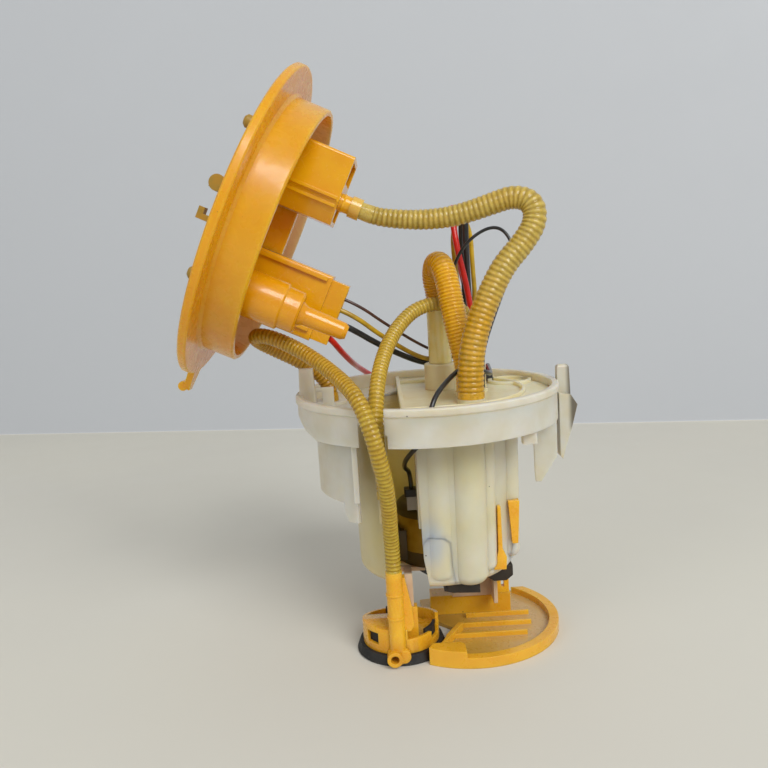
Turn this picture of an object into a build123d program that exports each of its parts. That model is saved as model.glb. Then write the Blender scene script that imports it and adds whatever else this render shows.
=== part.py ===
"""In-tank fuel pump module: a swirl pot with its electric pump, a tank flange held over it by its hoses,
a jet pump foot and a half-moon floor tray.  Millimetres, +Z up, origin on the pot axis at the standing plane."""
from build123d import *
from math import atan2, cos, degrees, radians, sin, sqrt, tan
import os

# ---- sizes: reservoir collar and lid -----------------------------------------------------------
COLLAR_R = 62.5            # outside of the rim lip
COLLAR_TOP = 121.0         # standing plane to the rim
COLLAR_WALL = 2.2
LIP_H = 3.0
LIP_STEP = 0.8             # the lip stands proud of the band below it
BAND_H = 16.5
WEB_DROP = 7.0             # rim down to the annular floor of the collar
WEB_T = 2.0
LID_T = 3.0
LID_GAP = 0.3
NOTCH_X = -26.5            # hose notch in the front of the collar
NOTCH_W = 11.0
PANEL_R = 54.0             # outside of the curved guard panel, left
PANEL_T = 2.0
PANEL_DROP = 36.0
TONGUE_DROP = 8.0

# ---- sizes: swirl pot --------------------------------------------------------------------------
POT_X = 1.2
POT_R = 39.3
POT_WALL = 2.0
POT_BOTTOM = 34.0
POT_DRAFT = 1.2            # degrees
POT_EDGE = 4.0             # round of the pot's lower edge
COLUMNS = ((1.0, -30.5, 9.5, 2.0), (14.0, -31.0, 9.5, 0.0), (21.5, -28.0, 6.5, 4.0), (34.5, -14.5, 6.5, 5.0))
SLOT_X0 = -20.5            # open front of the pot, beside the columns
SLOT_X1 = -8.2
CUP_TOP = 58.0             # pale strainer cup that closes the lower corners

# ---- sizes: pump -------------------------------------------------------------------------------
PUMP_X = 1.5
PUMP_Y = 1.0
CAN_R = 19.5
CAN_WALL = 1.0
CAN_Z = 43.0
CAN_TOP = 59.5
CAP_H = 5.5
SHAFT_R = 1.5
RUN_GAP = 0.05             # bearing clearance on the radius
AIR_GAP = 0.8
IMPELLER_R = 15.0

# ---- sizes: outlet stub and check valve --------------------------------------------------------
STUB_X = 8.7
STUB_Y = 14.0
STUB_R = 8.2
STUB_TOP = 130.0
STUB_BORE = 4.2
NIPPLE_R = 3.6
CUFF_R = 5.7
CUFF_TOP = 156.0
CHECK_LIFT = 1.8
FEED_SOCKET = (18.0, -32.0)
OUTLET_SOCKET = (19.3, -12.0)
BRANCH_SOCKET = (25.5, 7.0)
BRANCH_TOP = 131.0
BRANCH_END_X = -22.8       # nipple on the pot wall that takes the branch hose
BRANCH_END_Y = -35.8
BRANCH_END_Z = 77.0
SENDER_EXIT = (27.5, -2.0)
LEAD_HOLE = (-2.4, -47.4)
GLAND_X = (17.0, 36.6)
GLAND_Y = (27.2, 35.2)
GLAND_H = 5.0

# ---- sizes: tank flange (built flat, then tilted) ----------------------------------------------
FLANGE_R = 74.5
FLANGE_T = 4.0
SKIRT_R = 61.0
SKIRT_WALL = 2.4
SKIRT_DEPTH = 16.0
FLANGE_TILT = 64.2         # flange normal from the pot axis, degrees
FLANGE_AT = (-80.2, 0.0, 202.9)
BLOCK_S = (-8.0, 22.0)     # port block, towards the front
BLOCK_M = (13.5, 44.5)     # port block, up the flange
BLOCK_END = 38.5
FEED_S = 12.0
FEED_M = 24.8
FEED_NIPPLE_R = 4.0
VALVE_S = 30.0
VALVE_M = -27.0
VALVE_R = 10.5
SPIGOT_R = 4.0
SPIGOT_END = 63.5
CONN_S = (-14.0, 6.0)
CONN_M = (-39.5, -7.5)
CONN_END = 48.0
CONN_NOSE = 56.5
SPIGOT_OUT_R = 3.15        # quick-connect spigots on the outer face, for 6.3 mm couplings
SPIGOT_OUT_H = 16.5
FEED_OUT_M = 43.0
RETURN_OUT_M = -31.0

# ---- sizes: jet pump foot ----------------------------------------------------------------------
FOOT_X = -19.0
FOOT_Y = -21.0
FOOT_R = 21.0
SEAL_H = 4.5
STEM_R = 1.6
CUP_R = 18.0
CUP_WALL = 1.6
CUP_H = 11.0
RISER_X = -20.9
RISER_Y = -38.6
RISER_R = 3.75
RISER_TOP = 44.0
NOZZLE_BORE = 1.9
NOZZLE_Z = 4.7
FOOT_LIFT = 1.2
CUP_WINDOWS = (222.0, 332.0, 95.0)
FLOOR_Z = 6.2              # slotted floor of the jet cup
FLOOR_T = 1.4
SIDE_X = -13.6             # right edge of the riser's side channel
SIDE_Y = -34.2
SIDE_BASE = 40.0

# ---- sizes: floor tray -------------------------------------------------------------------------
RAIL_X0 = -16.0            # cream rail between the foot and the pot
RAIL_X1 = -12.4
RAIL_Y0 = -30.9
RAIL_Y1 = -28.8
RAIL_FOOT = 19.6           # the rail stands in the holder from here

TRAY_X = 15.0
TRAY_Y = -3.5
TRAY_R = 44.0
TRAY_T = 1.8
RIM_W = 4.5
RIM_H = 5.0
TRAY_BLOCK_H = 8.0
TRAY_BAR_Y = 9.0
TRAY_BAR_X = 37.4         # right end of the bar
TRAY_BAR_H = 12.0
CLIP_TOP = 68.0            # top of the snap ribs on the pot
SEAT_H = 20.0              # underside of the black strainer frame

# ---- sizes: level sender, behind the pot -------------------------------------------------------
SENDER_X = 35.0
SENDER_Y = 41.0
SENDER_Z = 84.0
ARM_R = 1.0
FLOAT_AT = (-14.0, 48.5, 52.0)
FLOAT_SIZE = (26.0, 13.0, 15.0)

# ---- derived places ----------------------------------------------------------------------------
BAND_Z = COLLAR_TOP - BAND_H
BAND_R = COLLAR_R - LIP_STEP
COLLAR_IN = BAND_R - COLLAR_WALL
WEB_TOP = COLLAR_TOP - WEB_DROP
WEB_Z = WEB_TOP - WEB_T
LID_TOP = WEB_TOP + LID_T
POT_FLOOR = POT_BOTTOM + POT_WALL
CAP_TOP = CAN_TOP + CAP_H
CUP_Z1 = SEAL_H + CUP_H

os.makedirs("parts", exist_ok=True)
MIN3 = (Align.MIN, Align.MIN, Align.MIN)
BASE = (Align.CENTER, Align.CENTER, Align.MIN)


# ---- small helpers -----------------------------------------------------------------------------
def cyl(r, z0, z1, x=0.0, y=0.0):
    return Pos(x, y, z0) * Cylinder(r, z1 - z0, align=BASE)


def cone(r0, r1, z0, z1, x=0.0, y=0.0):
    return Pos(x, y, z0) * Cone(r0, r1, z1 - z0, align=BASE)


def tube(r_out, r_in, z0, z1, x=0.0, y=0.0):
    return cyl(r_out, z0, z1, x, y) - cyl(r_in, z0 - 1, z1 + 1, x, y)


def block(x0, x1, y0, y1, z0, z1):
    return Pos(x0, y0, z0) * Box(x1 - x0, y1 - y0, z1 - z0, align=MIN3)


def spin(points, arc=360.0, start=0.0):
    """Profile of (radius, height) points turned about Z."""
    face = Plane.XZ * make_face(Polyline(*points, close=True))
    return Rot(0, 0, start) * revolve(face, Axis.Z, revolution_arc=arc)


def sector(r_in, r_out, z0, z1, a0, a1):
    return spin([(r_in, z0), (r_out, z0), (r_out, z1), (r_in, z1)], a1 - a0, a0)


def slab_xz(points, y0, y1):
    """Outline of (x, z) points, from y0 to y1."""
    face = make_face(Polyline(*[(x, z) for x, z in points], close=True))
    return extrude(Plane(origin=(0, y1, 0), x_dir=(1, 0, 0), z_dir=(0, -1, 0)) * face, y1 - y0)


def slab_xy(points, z0, z1):
    return Pos(0, 0, z0) * extrude(make_face(Polyline(*points, close=True)), z1 - z0)


def flange_frame():
    t = radians(FLANGE_TILT)
    return Plane(origin=FLANGE_AT, x_dir=(0, -1, 0), z_dir=(-sin(t), 0, cos(t))).location


def on_flange(shape):
    """From the flange's flat frame (x to the front, y up the flange, z outwards) to its place."""
    return flange_frame() * shape


def flange_point(s, m, z):
    t = radians(FLANGE_TILT)
    return (FLANGE_AT[0] + m * cos(t) - z * sin(t), FLANGE_AT[1] - s, FLANGE_AT[2] + m * sin(t) + z * cos(t))


def save(name, shape):
    shape.label = name
    export_step(shape, "parts/" + name + ".step")


def cord(name, diameter, points):
    """Round cord along straight runs joined by tangent arcs; prints its radii and checks its volume."""
    pts = [Vector(*p) for p in points]
    runs = [(b - a).length for a, b in zip(pts, pts[1:])]
    radii = []
    for i in range(1, len(pts) - 1):
        turn = (pts[i] - pts[i - 1]).get_angle(pts[i + 1] - pts[i])
        radii.append(0.45 * min(runs[i - 1], runs[i]) / tan(radians(turn) / 2))
    path = FilletPolyline(*pts, radius=radii)
    section = Plane(origin=pts[0], z_dir=pts[1] - pts[0]) * Circle(diameter / 2)
    solid = sweep(section, path=path)
    want = 3.14159265 * diameter ** 2 / 4 * path.length
    print("%-16s d %.1f length %.1f volume ratio %.4f radii %s" % (
        name, diameter, path.length, solid.volume / want, [round(r, 1) for r in radii]))
    save(name, solid)
    return solid


# ---- tank flange -------------------------------------------------------------------------------
def flange_cover():
    """Flange disc and sealing skirt in one turning, with the web ribs and the locating tab."""
    inner = SKIRT_R - SKIRT_WALL
    profile = [(0, 0), (FLANGE_R - 0.8, 0), (FLANGE_R, -0.8), (FLANGE_R, -FLANGE_T + 0.6),
               (FLANGE_R - 0.6, -FLANGE_T), (SKIRT_R + 1.4, -FLANGE_T), (SKIRT_R, -FLANGE_T - 1.4),
               (SKIRT_R, -FLANGE_T - SKIRT_DEPTH + 0.8), (SKIRT_R - 0.8, -FLANGE_T - SKIRT_DEPTH),
               (inner, -FLANGE_T - SKIRT_DEPTH),
               (inner, -FLANGE_T), (0, -FLANGE_T)]
    cover = spin(profile)
    cover -= tube(FLANGE_R - 6.0, FLANGE_R - 8.5, -0.7, 1.0)
    ribs = None
    for a in range(0, 360, 30):
        rib = Rot(0, 0, a + 15) * block(40.0, inner + 0.5, -0.8, 0.8, -FLANGE_T - 2.5, -FLANGE_T + 0.1)
        ribs = rib if ribs is None else ribs + rib
    depth = -FLANGE_T - 3
    ribs -= block(BLOCK_S[0] - 0.5, BLOCK_S[1] + 0.5, BLOCK_M[0] - 0.5, BLOCK_M[1] + 0.5, depth, 0)
    ribs -= block(CONN_S[0] - 0.5, CONN_S[1] + 2.1, CONN_M[0] - 0.5, CONN_M[1] + 0.5, depth, 0)
    ribs -= cyl(VALVE_R + 0.5, depth, 0, VALVE_S, VALVE_M)
    cover += ribs
    cover += block(-3.0, 2.0, CONN_M[1] + 0.3, BLOCK_M[0] - 0.3, -FLANGE_T - 17.5, -FLANGE_T + 0.1)
    tab = slab_xy([(-7, -FLANGE_R + 2), (7, -FLANGE_R + 2), (4.0, -FLANGE_R - 6.5), (3.0, -FLANGE_R - 9.0),
                   (-3.0, -FLANGE_R - 9.0), (-4.0, -FLANGE_R - 6.5)], -FLANGE_T, -1.0)
    cover += tab
    cover += Pos(0, -FLANGE_R - 8.0, -0.6) * Rot(0, 90, 0) * Cylinder(2.3, 7.0)
    return cover


def port_block():
    """Moulded port housing under the flange with its ridged front and the feed nipple."""
    s0, s1 = BLOCK_S
    m0, m1 = BLOCK_M
    top = -FLANGE_T
    body = block(s0, s1, m0, m1, -BLOCK_END, top)
    body = fillet(body.edges().filter_by(Axis.Z), 1.5)
    slope = slab_xy([(s1 - 6.5, m0 - 1), (s1 + 1, m0 - 1), (s1 + 1, m0 + 11.0), (s1 - 0.4, m0 + 10.0)],
                    -BLOCK_END - 1, top + 1)
    body -= slope
    for m in (m0 + 11.6, m0 + 8.2):
        depth = 0.0 if m > m0 + 10 else 1.6
        body += block(s1 - 3.5 - depth, s1 + 0.9 - depth, m - 0.7, m + 0.7, -BLOCK_END + 1.0, top)
    body -= block(s0 + 2.0, s1 - 9.0, m0 + 2.0, m0 + 8.0, -BLOCK_END - 1, -BLOCK_END + 14.0)
    body -= block(s0 + 2.0, s1 - 3.0, m1 - 12.0, m1 - 2.0, -BLOCK_END - 1, -BLOCK_END + 14.0)
    end = BLOCK_END + 5.0
    nipple = cyl(FEED_NIPPLE_R, -end, -BLOCK_END, FEED_S, FEED_M)
    nipple += cone(FEED_NIPPLE_R - 0.4, FEED_NIPPLE_R + 0.5, -BLOCK_END - 3.2, -BLOCK_END - 1.4, FEED_S, FEED_M)
    body += nipple
    body -= cyl(2.4, -end - 1, -BLOCK_END + 16.0, FEED_S, FEED_M)
    return body


def feed_cuff():
    end = BLOCK_END + 5.0
    return tube(FEED_NIPPLE_R + 0.9, FEED_NIPPLE_R - 1.4, -end - 5.0, -end, FEED_S, FEED_M)


def relief_valve():
    """Stepped pressure valve housing with its open return spigot."""
    profile = [(0, -FLANGE_T), (VALVE_R, -FLANGE_T), (VALVE_R, -33.2), (VALVE_R - 0.8, -34.0),
               (VALVE_R - 1.0, -34.0), (VALVE_R - 1.2, -40.6), (VALVE_R - 2.2, -41.5), (SPIGOT_R + 1.6, -41.5),
               (SPIGOT_R + 0.3, -44.0), (SPIGOT_R + 0.2, -52.0), (SPIGOT_R - 0.1, -SPIGOT_END + 1.8),
               (SPIGOT_R - 1.1, -SPIGOT_END), (0, -SPIGOT_END)]
    body = spin(profile)
    body -= cyl(2.1, -SPIGOT_END - 1, -40.0)
    body -= cyl(VALVE_R - 2.6, -38.0, -16.0)
    body += tube(VALVE_R - 2.5, 2.1, -38.0, -37.0)
    return Pos(VALVE_S, VALVE_M, 0) * body


def harness_connector():
    """Inner connector shroud: a thick-walled socket with a stepped nose and keying ribs."""
    s0, s1 = CONN_S
    m0, m1 = CONN_M
    body = block(s0, s1, m0, m1, -CONN_END, -FLANGE_T)
    body = fillet(body.edges().filter_by(Axis.Z), 1.2)
    body += block(s0 + 2.5, s1 - 2.5, m0 + 1.0, m1 - 1.5, -CONN_NOSE, -CONN_END)
    body -= block(s0 + 4.2, s1 - 4.2, m0 + 2.7, m1 - 3.2, -CONN_NOSE - 1, -CONN_END + 12.0)
    body += block(s1, s1 + 1.6, m1 - 3.0, m1 - 1.2, -CONN_END + 2.0, -FLANGE_T)
    body += block(s1, s1 + 1.6, m0 + 4.0, m0 + 5.8, -CONN_END + 2.0, -FLANGE_T)
    return body


WIRE_M = (-15.6, -21.0, -27.0, -35.2)
WIRE_S = -2.0


def harness_seal():
    """Wire seal that closes the connector nose and carries the four leads."""
    s0, s1 = CONN_S
    m0, m1 = CONN_M
    return block(s0 + 4.3, s1 - 4.3, m0 + 2.8, m1 - 3.3, -CONN_NOSE + 0.5, -CONN_END + 11.8)


def outer_socket():
    """Vehicle-side connector socket on the outer face, with latch tab and hook."""
    shroud = block(-13, 13, -6.5, 14.0, 0, 11.0)
    shroud = fillet(shroud.edges().filter_by(Axis.Z), 3.0)
    shroud -= block(-11, 11, -4.5, 9.0, 2.0, 12.0)
    latch = block(-4.0, 4.0, 9.1, 14.0, 10.9, 20.5)
    latch += Pos(0, 12.0, 17.4) * Rot(0, 90, 0) * Cylinder(3.9, 8.0)
    hook = block(-3.0, 3.0, -6.4, -3.6, 10.9, 21.5)
    hook += block(-3.0, 3.0, -6.4, -0.6, 18.6, 21.5)
    return shroud + latch + hook


def outer_pins():
    pins = None
    for s in (-6.0, -2.0, 2.0, 6.0):
        pin = block(s - 0.4, s + 0.4, 1.2, 3.2, 2.0, 6.2)
        pins = pin if pins is None else pins + pin
    return pins


def outer_spigot(m):
    """Quick-connect spigot with a retaining bead and a rounded end."""
    r = SPIGOT_OUT_R
    h = SPIGOT_OUT_H
    profile = [(0, 0), (r + 2.3, 0), (r + 2.3, 1.8), (r + 0.4, 3.0), (r + 0.4, 4.2), (r + 1.2, 5.0),
               (r + 1.2, 6.0), (r, 6.8), (r, h - 1.2), (r - 1.2, h), (0, h)]
    return Pos(0, m, 0) * (spin(profile) - cyl(1.7, 1.5, h + 1))


# ---- reservoir ---------------------------------------------------------------------------------
def reservoir_collar():
    """Rim lip, band and annular floor, with the hose notch, guide posts and guard panels."""
    ring = spin([(COLLAR_IN, BAND_Z), (BAND_R, BAND_Z), (BAND_R, COLLAR_TOP - LIP_H - 0.7),
                 (COLLAR_R, COLLAR_TOP - LIP_H), (COLLAR_R, COLLAR_TOP - 0.5), (COLLAR_R - 0.5, COLLAR_TOP),
                 (COLLAR_IN, COLLAR_TOP)])
    ring += cyl(COLLAR_IN + 0.2, WEB_Z, WEB_TOP) - cyl(POT_R - POT_WALL, WEB_Z - 1, WEB_TOP + 1, POT_X, 0)
    panel = sector(PANEL_R - PANEL_T, PANEL_R, WEB_Z - PANEL_DROP, WEB_Z + 0.2, 190, 230)
    tongue = sector(PANEL_R - PANEL_T, PANEL_R, WEB_Z - PANEL_DROP - TONGUE_DROP, WEB_Z, 221, 230)
    tongue -= slab_xz([(-60, 60), (-38.5, 60), (-38.5, 66), (-42, 75), (-60, 75)], -60, 0)
    ring += panel + tongue
    ring += block(-35.8, -33.4, -44.5, -39.5, WEB_Z - PANEL_DROP + 2, WEB_Z + 0.2)
    x0 = NOTCH_X - NOTCH_W / 2
    x1 = NOTCH_X + NOTCH_W / 2
    ring -= block(x0, x1, -COLLAR_R - 4, -46.0, BAND_Z - 1, COLLAR_TOP + 1)
    ring -= block(x0 + 1.5, x1 + 1.0, -COLLAR_R - 4, -52.0, BAND_Z - 1, BAND_Z + 5.5)
    ring -= block(x0, x1 + 3.2, -57.0, -44.6, WEB_Z - 1, WEB_TOP + 1)
    ring -= cyl(2.6, WEB_Z - 1, WEB_TOP + 1, *LEAD_HOLE)
    ring -= slab_xz([(-68, 113.5), (-68, 100), (-50.5, 100), (-51.5, BAND_Z + 0.5), (-56.5, 107.5), (-62, 113.5)],
                    -45, 45)
    ring -= cyl(7.0, WEB_Z - 1, WEB_TOP + 1, -46.0, 6.0)
    ring += tube(7.2, 4.3, WEB_Z, WEB_TOP + 1.5, -46.0, 6.0)
    post = Pos(-56.4, -6.0, WEB_TOP - 0.1) * loft([Rectangle(8.0, 5.0), Pos(0, 0, 19.5) * Rectangle(6.4, 4.2)])
    ring += post
    frame = block(-53.0, -44.0, -7.0, -5.2, WEB_TOP - 0.1, WEB_TOP + 10.0)
    frame -= block(-52.2, -49.4, -8, -4, WEB_TOP + 3.0, WEB_TOP + 8.2)
    ring += frame
    fin = slab_xz([(49.4, WEB_Z + 0.1), (BAND_R - 1.2, WEB_Z + 0.1), (BAND_R - 1.2, 84.6), (52.6, 72.6),
                   (50.0, 72.6), (49.6, 78.0)], -9.0, -7.2)
    ring += fin
    ring += block(38.5, 44.5, -42.0, -37.0, 99.0, WEB_Z + 0.1)
    return ring


def side_bracket():
    """Clip box on the right of the collar with its upright guide post and comb edge."""
    x0 = COLLAR_R + 0.02
    body = slab_xz([(x0, 84.0), (x0 + 1.2, 82.4), (x0 + 2.6, 88.0), (x0 + 5.4, 96.4), (x0 + 8.6, 108.6),
                    (x0 + 5.6, 113.5), (x0, 114.5)], -7.0, 7.0)
    body -= slab_xz([(x0 + 1.6, 86.0), (x0 + 4.4, 98.0), (x0 + 4.4, 116.0), (x0 + 1.6, 116.0)], -5.2, 5.2)
    post = Pos(x0 + 3.3, 0, 113.0) * loft([Rectangle(6.4, 4.6), Pos(0, 0, 14.5) * Rectangle(5.6, 4.0)])
    post = fillet(post.edges().group_by(Axis.Z)[-1], 1.6)
    body += post
    body += block(x0, x0 + 5.0, -2.3, 2.3, 106.0, 114.0)
    for i in range(4):
        body += block(x0 + 6.4 - 0.9 * i, x0 + 9.2 - 0.75 * i, -3.2, 3.2, 106.8 - 2.6 * i, 107.8 - 2.6 * i)
    return body


def pot_outer(inset):
    """Outer form of the pot: a drafted drum with four rounded columns on its front."""
    drop = tan(radians(POT_DRAFT)) * (WEB_Z - POT_BOTTOM)
    z0 = POT_BOTTOM + inset
    body = cone(POT_R - drop - inset, POT_R - inset, z0, WEB_Z, POT_X, 0)
    body = fillet(body.edges().group_by(Axis.Z)[0], POT_EDGE - min(inset, POT_WALL))
    for x, y, r, up in COLUMNS:
        col = cone(r - 1.0 - inset, r - inset, z0 + up, WEB_Z, x, y)
        if inset < POT_WALL:
            col = fillet(col.edges().group_by(Axis.Z)[0], min(5.0, r - 2.5))
        body += col
    return body


def pot_shell():
    shell = pot_outer(0.0) - pot_outer(POT_WALL)
    shell -= cyl(POT_R - POT_WALL, WEB_Z - 4, WEB_Z + 1, POT_X, 0)
    return shell


def cup_zone():
    """Where the pale strainer cup replaces the pot wall: its lower front-left and right corners."""
    left = slab_xz([(-9, POT_BOTTOM - 1), (7.4, POT_BOTTOM - 1), (5.6, CUP_TOP - 14), (5.2, CUP_TOP - 3),
                    (2.5, CUP_TOP), (-4.6, CUP_TOP), (-9, CUP_TOP - 6)], -60, -22.0)
    right = slab_xz([(33.5, POT_BOTTOM - 1), (60, POT_BOTTOM - 1), (60, CUP_TOP - 6), (37.5, CUP_TOP - 6),
                     (35.5, CUP_TOP - 14)], -30, 0.0)
    return left, right


def swirl_pot():
    """Pot shell with its columns, the open front slot and the pump inlet hole in the floor."""
    shell = pot_shell()
    shell -= slab_xz([(SLOT_X0, POT_BOTTOM - 1), (SLOT_X1 + 3.5, POT_BOTTOM - 1), (SLOT_X1 + 1.2, 48),
                      (SLOT_X1, WEB_Z + 1), (SLOT_X0, WEB_Z + 1)], -60, -12.0)
    left, right = cup_zone()
    shell -= left
    shell -= right
    shell -= cyl(9.0, POT_BOTTOM - 1, POT_FLOOR + 1, PUMP_X, PUMP_Y)
    shell += block(SLOT_X1 - 0.1, SLOT_X1 + 1.9, -36.0, -24.0, 62.0, WEB_Z)
    return shell


def strainer_cup():
    """Pale cup: the two lower wall corners joined by a ring on the pot floor."""
    shell = pot_shell()
    left, right = cup_zone()
    slot = slab_xz([(SLOT_X0, POT_BOTTOM - 1), (SLOT_X1 + 3.6, POT_BOTTOM - 1), (SLOT_X1 + 1.3, 48),
                    (SLOT_X1 + 0.1, WEB_Z + 1), (SLOT_X0, WEB_Z + 1)], -60, -12.0)
    corners = (shell & left) - slot + (shell & right)
    ring = tube(33.0, 26.0, POT_FLOOR, POT_FLOOR + 2.0, POT_X, 0)
    ring -= block(SLOT_X0 - 12, SLOT_X1 + 3.7, -60, -12, POT_BOTTOM, POT_FLOOR + 3)
    spokes = block(0.0, 4.0, -37.0, -30.0, POT_FLOOR, POT_FLOOR + 2.0)
    spokes += block(32.0, 37.2, -9.0, -4.0, POT_FLOOR, POT_FLOOR + 2.0)
    cup = ring + spokes
    inside = pot_outer(POT_WALL)
    cup = cup & inside
    return corners + cup


def pump_lid():
    """Lid over the pot: outlet stub boss, hose sockets, stiffening ribs and the open left bay."""
    lid = cyl(COLLAR_IN - LID_GAP, WEB_TOP, LID_TOP)
    lid -= block(-70, -13.5, -70, 70, WEB_TOP - 1, LID_TOP + 1)
    lid -= cyl(4.0, WEB_TOP - 1, LID_TOP + 1, 44.0, 22.0)
    lid += block(-13.5, -11.7, -52.0, 52.0, WEB_TOP, LID_TOP + 2.0)
    for y in (-44.0, 38.0):
        lid += block(-11.8, 38.0, y - 0.8, y + 0.8, LID_TOP - 0.1, LID_TOP + 1.8)
    lid += tube(47.0, 45.6, LID_TOP - 0.1, LID_TOP + 1.8) & block(14.0, 60, -60, 60, 100, 140)
    lid += tube(11.0, 9.4, LID_TOP - 0.1, LID_TOP + 1.6, 44.0, 22.0) & cyl(COLLAR_IN - LID_GAP, 100, 140)
    lid -= block(GLAND_X[0] - 0.2, GLAND_X[1] + 0.2, GLAND_Y[0] - 0.2, GLAND_Y[1] + 0.2, LID_TOP, LID_TOP + 5)
    boss = cyl(STUB_R, LID_TOP - 0.1, STUB_TOP, STUB_X, STUB_Y)
    boss = fillet(boss.edges().group_by(Axis.Z)[-1], 1.0)
    boss += block(STUB_X, STUB_X + STUB_R + 1.2, STUB_Y - 6.0, STUB_Y + 4.0, LID_TOP - 0.1, STUB_TOP - 2.0)
    lid += boss
    nipple = cyl(NIPPLE_R, STUB_TOP - 0.1, STUB_TOP + 20.0, STUB_X, STUB_Y)
    lid += nipple
    lid += cyl(STUB_BORE + 1.8, WEB_TOP - 16.0, WEB_TOP, STUB_X, STUB_Y)
    lid -= cyl(2.4, STUB_TOP - 6.0, STUB_TOP + 21.0, STUB_X, STUB_Y)
    lid -= cyl(STUB_BORE, WEB_TOP - 4.0, STUB_TOP - 3.0, STUB_X, STUB_Y)
    lid -= cyl(2.4, WEB_TOP - 5.0, WEB_TOP - 3.9, STUB_X, STUB_Y)
    lid -= cyl(NIPPLE_R + 0.15, WEB_TOP - 17.0, WEB_TOP - 4.9, STUB_X, STUB_Y)
    for (x, y), r, top in ((FEED_SOCKET, 6.2, LID_TOP + 2.0), (OUTLET_SOCKET, 6.8, LID_TOP + 2.0),
                           (BRANCH_SOCKET, 4.6, BRANCH_TOP)):
        lid += cyl(r, LID_TOP - 0.1, top, x, y)
        lid -= cyl(2.2, WEB_TOP - 1.0, top + 1, x, y)
    lid += cyl(2.0, LID_TOP - 0.1, LID_TOP + 1.5, *SENDER_EXIT)
    lid -= cyl(2.6, WEB_TOP - 1, LID_TOP + 1, *LEAD_HOLE)
    return lid


def wire_gland():
    """Rubber gland on the lid, behind the stub, that passes the leads."""
    body = block(*GLAND_X, *GLAND_Y, LID_TOP, LID_TOP + GLAND_H)
    body = fillet(body.edges().filter_by(Axis.Z), 2.0)
    return body


def outlet_cuff():
    return tube(CUFF_R, NIPPLE_R, STUB_TOP, CUFF_TOP, STUB_X, STUB_Y) - cyl(
        CUFF_R + 1, STUB_TOP + 20.5, CUFF_TOP + 1, STUB_X, STUB_Y) + tube(
        CUFF_R, NIPPLE_R - 0.6, STUB_TOP + 20.5, CUFF_TOP, STUB_X, STUB_Y)


def check_poppet():
    z = WEB_TOP - 4.0
    body = cyl(STUB_BORE - 0.25, z, z + 1.6, STUB_X, STUB_Y)
    return body + cyl(1.0, z + 1.5, z + 6.5, STUB_X, STUB_Y)


def check_spring():
    z0 = WEB_TOP - 2.4
    z1 = STUB_TOP - 3.0
    wire = 0.3
    turns = 4
    path = Helix(pitch=(z1 - z0 - 2 * wire) / turns, height=z1 - z0 - 2 * wire, radius=2.9)
    coil = sweep(Plane(origin=path @ 0, z_dir=path % 0) * Circle(wire), path=path, is_frenet=True)
    return Pos(STUB_X, STUB_Y, z0 + wire) * coil


# ---- pump --------------------------------------------------------------------------------------
def pump_can():
    return tube(CAN_R, CAN_R - CAN_WALL, CAN_Z, CAN_TOP, PUMP_X, PUMP_Y)


def pump_cap():
    """Brush end cap with rounded shoulder, outlet nipple and terminal socket seat."""
    cap = Cylinder(CAN_R, CAP_H, align=BASE)
    cap = fillet(cap.edges().group_by(Axis.Z)[-1], 3.6)
    cap = Pos(PUMP_X, PUMP_Y, CAN_TOP) * cap
    cap += cyl(NIPPLE_R, CAN_TOP + 1.0, WEB_TOP - 6.0, STUB_X, STUB_Y)
    cap -= cyl(2.2, CAN_TOP + 3.0, WEB_TOP - 5.0, STUB_X, STUB_Y)
    cap -= cyl(SHAFT_R + RUN_GAP, CAN_TOP - 1, CAN_TOP + 4.0, PUMP_X, PUMP_Y)
    return cap


def pump_terminal():
    return block(-12.6, -7.2, -15.8, -10.6, CAP_TOP - 0.6, CAP_TOP + 6.0) - pump_cap()


def lead_plug():
    body = block(-13.6, -6.9, -16.4, -10.2, CAP_TOP + 6.0, CAP_TOP + 9.5)
    return fillet(body.edges().filter_by(Axis.Z), 1.0)


def magnets():
    r_out = CAN_R - CAN_WALL
    r_in = r_out - 4.2
    z0 = CAN_Z + 2.0
    z1 = CAN_TOP - 5.0
    arcs = sector(r_in, r_out, z0, z1, 20, 160) + sector(r_in, r_out, z0, z1, 200, 340)
    return Pos(PUMP_X, PUMP_Y, 0) * arcs


def armature():
    """Slotted armature, commutator and shaft in one turning part."""
    r = CAN_R - CAN_WALL - 4.2 - AIR_GAP
    z0 = CAN_Z + 2.4
    z1 = CAN_TOP - 5.4
    core = Cylinder(r, z1 - z0, align=BASE)
    for i in range(8):
        core -= Rot(0, 0, 45 * i) * block(r - 4.5, r + 1, -0.9, 0.9, -1, 14)
    body = Pos(0, 0, z0) * core
    body += cyl(5.0, z1 - 0.1, CAN_TOP - 1.0)
    body += cyl(SHAFT_R, POT_FLOOR + 1.5, CAN_TOP + 3.0)
    return Pos(PUMP_X, PUMP_Y, 0) * body


def brushes():
    pair = None
    for sign in (-1, 1):
        b = block(5.1, 9.0, -2.0, 2.0, CAN_TOP - 4.2, CAN_TOP)
        b = Rot(0, 0, 90 + 90 * sign) * b
        pair = b if pair is None else pair + b
    return Pos(PUMP_X, PUMP_Y, 0) * pair


def impeller():
    """Regenerative impeller: a thin disc with blades cut round its edge."""
    z0 = POT_FLOOR + 3.4
    disc = Cylinder(IMPELLER_R, 3.0, align=BASE)
    for i in range(18):
        disc -= Rot(0, 0, 20 * i) * block(IMPELLER_R - 2.6, IMPELLER_R + 1, -0.8, 0.8, -1, 4)
    disc -= cyl(SHAFT_R, -1, 4)
    return Pos(PUMP_X, PUMP_Y, z0) * disc


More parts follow.
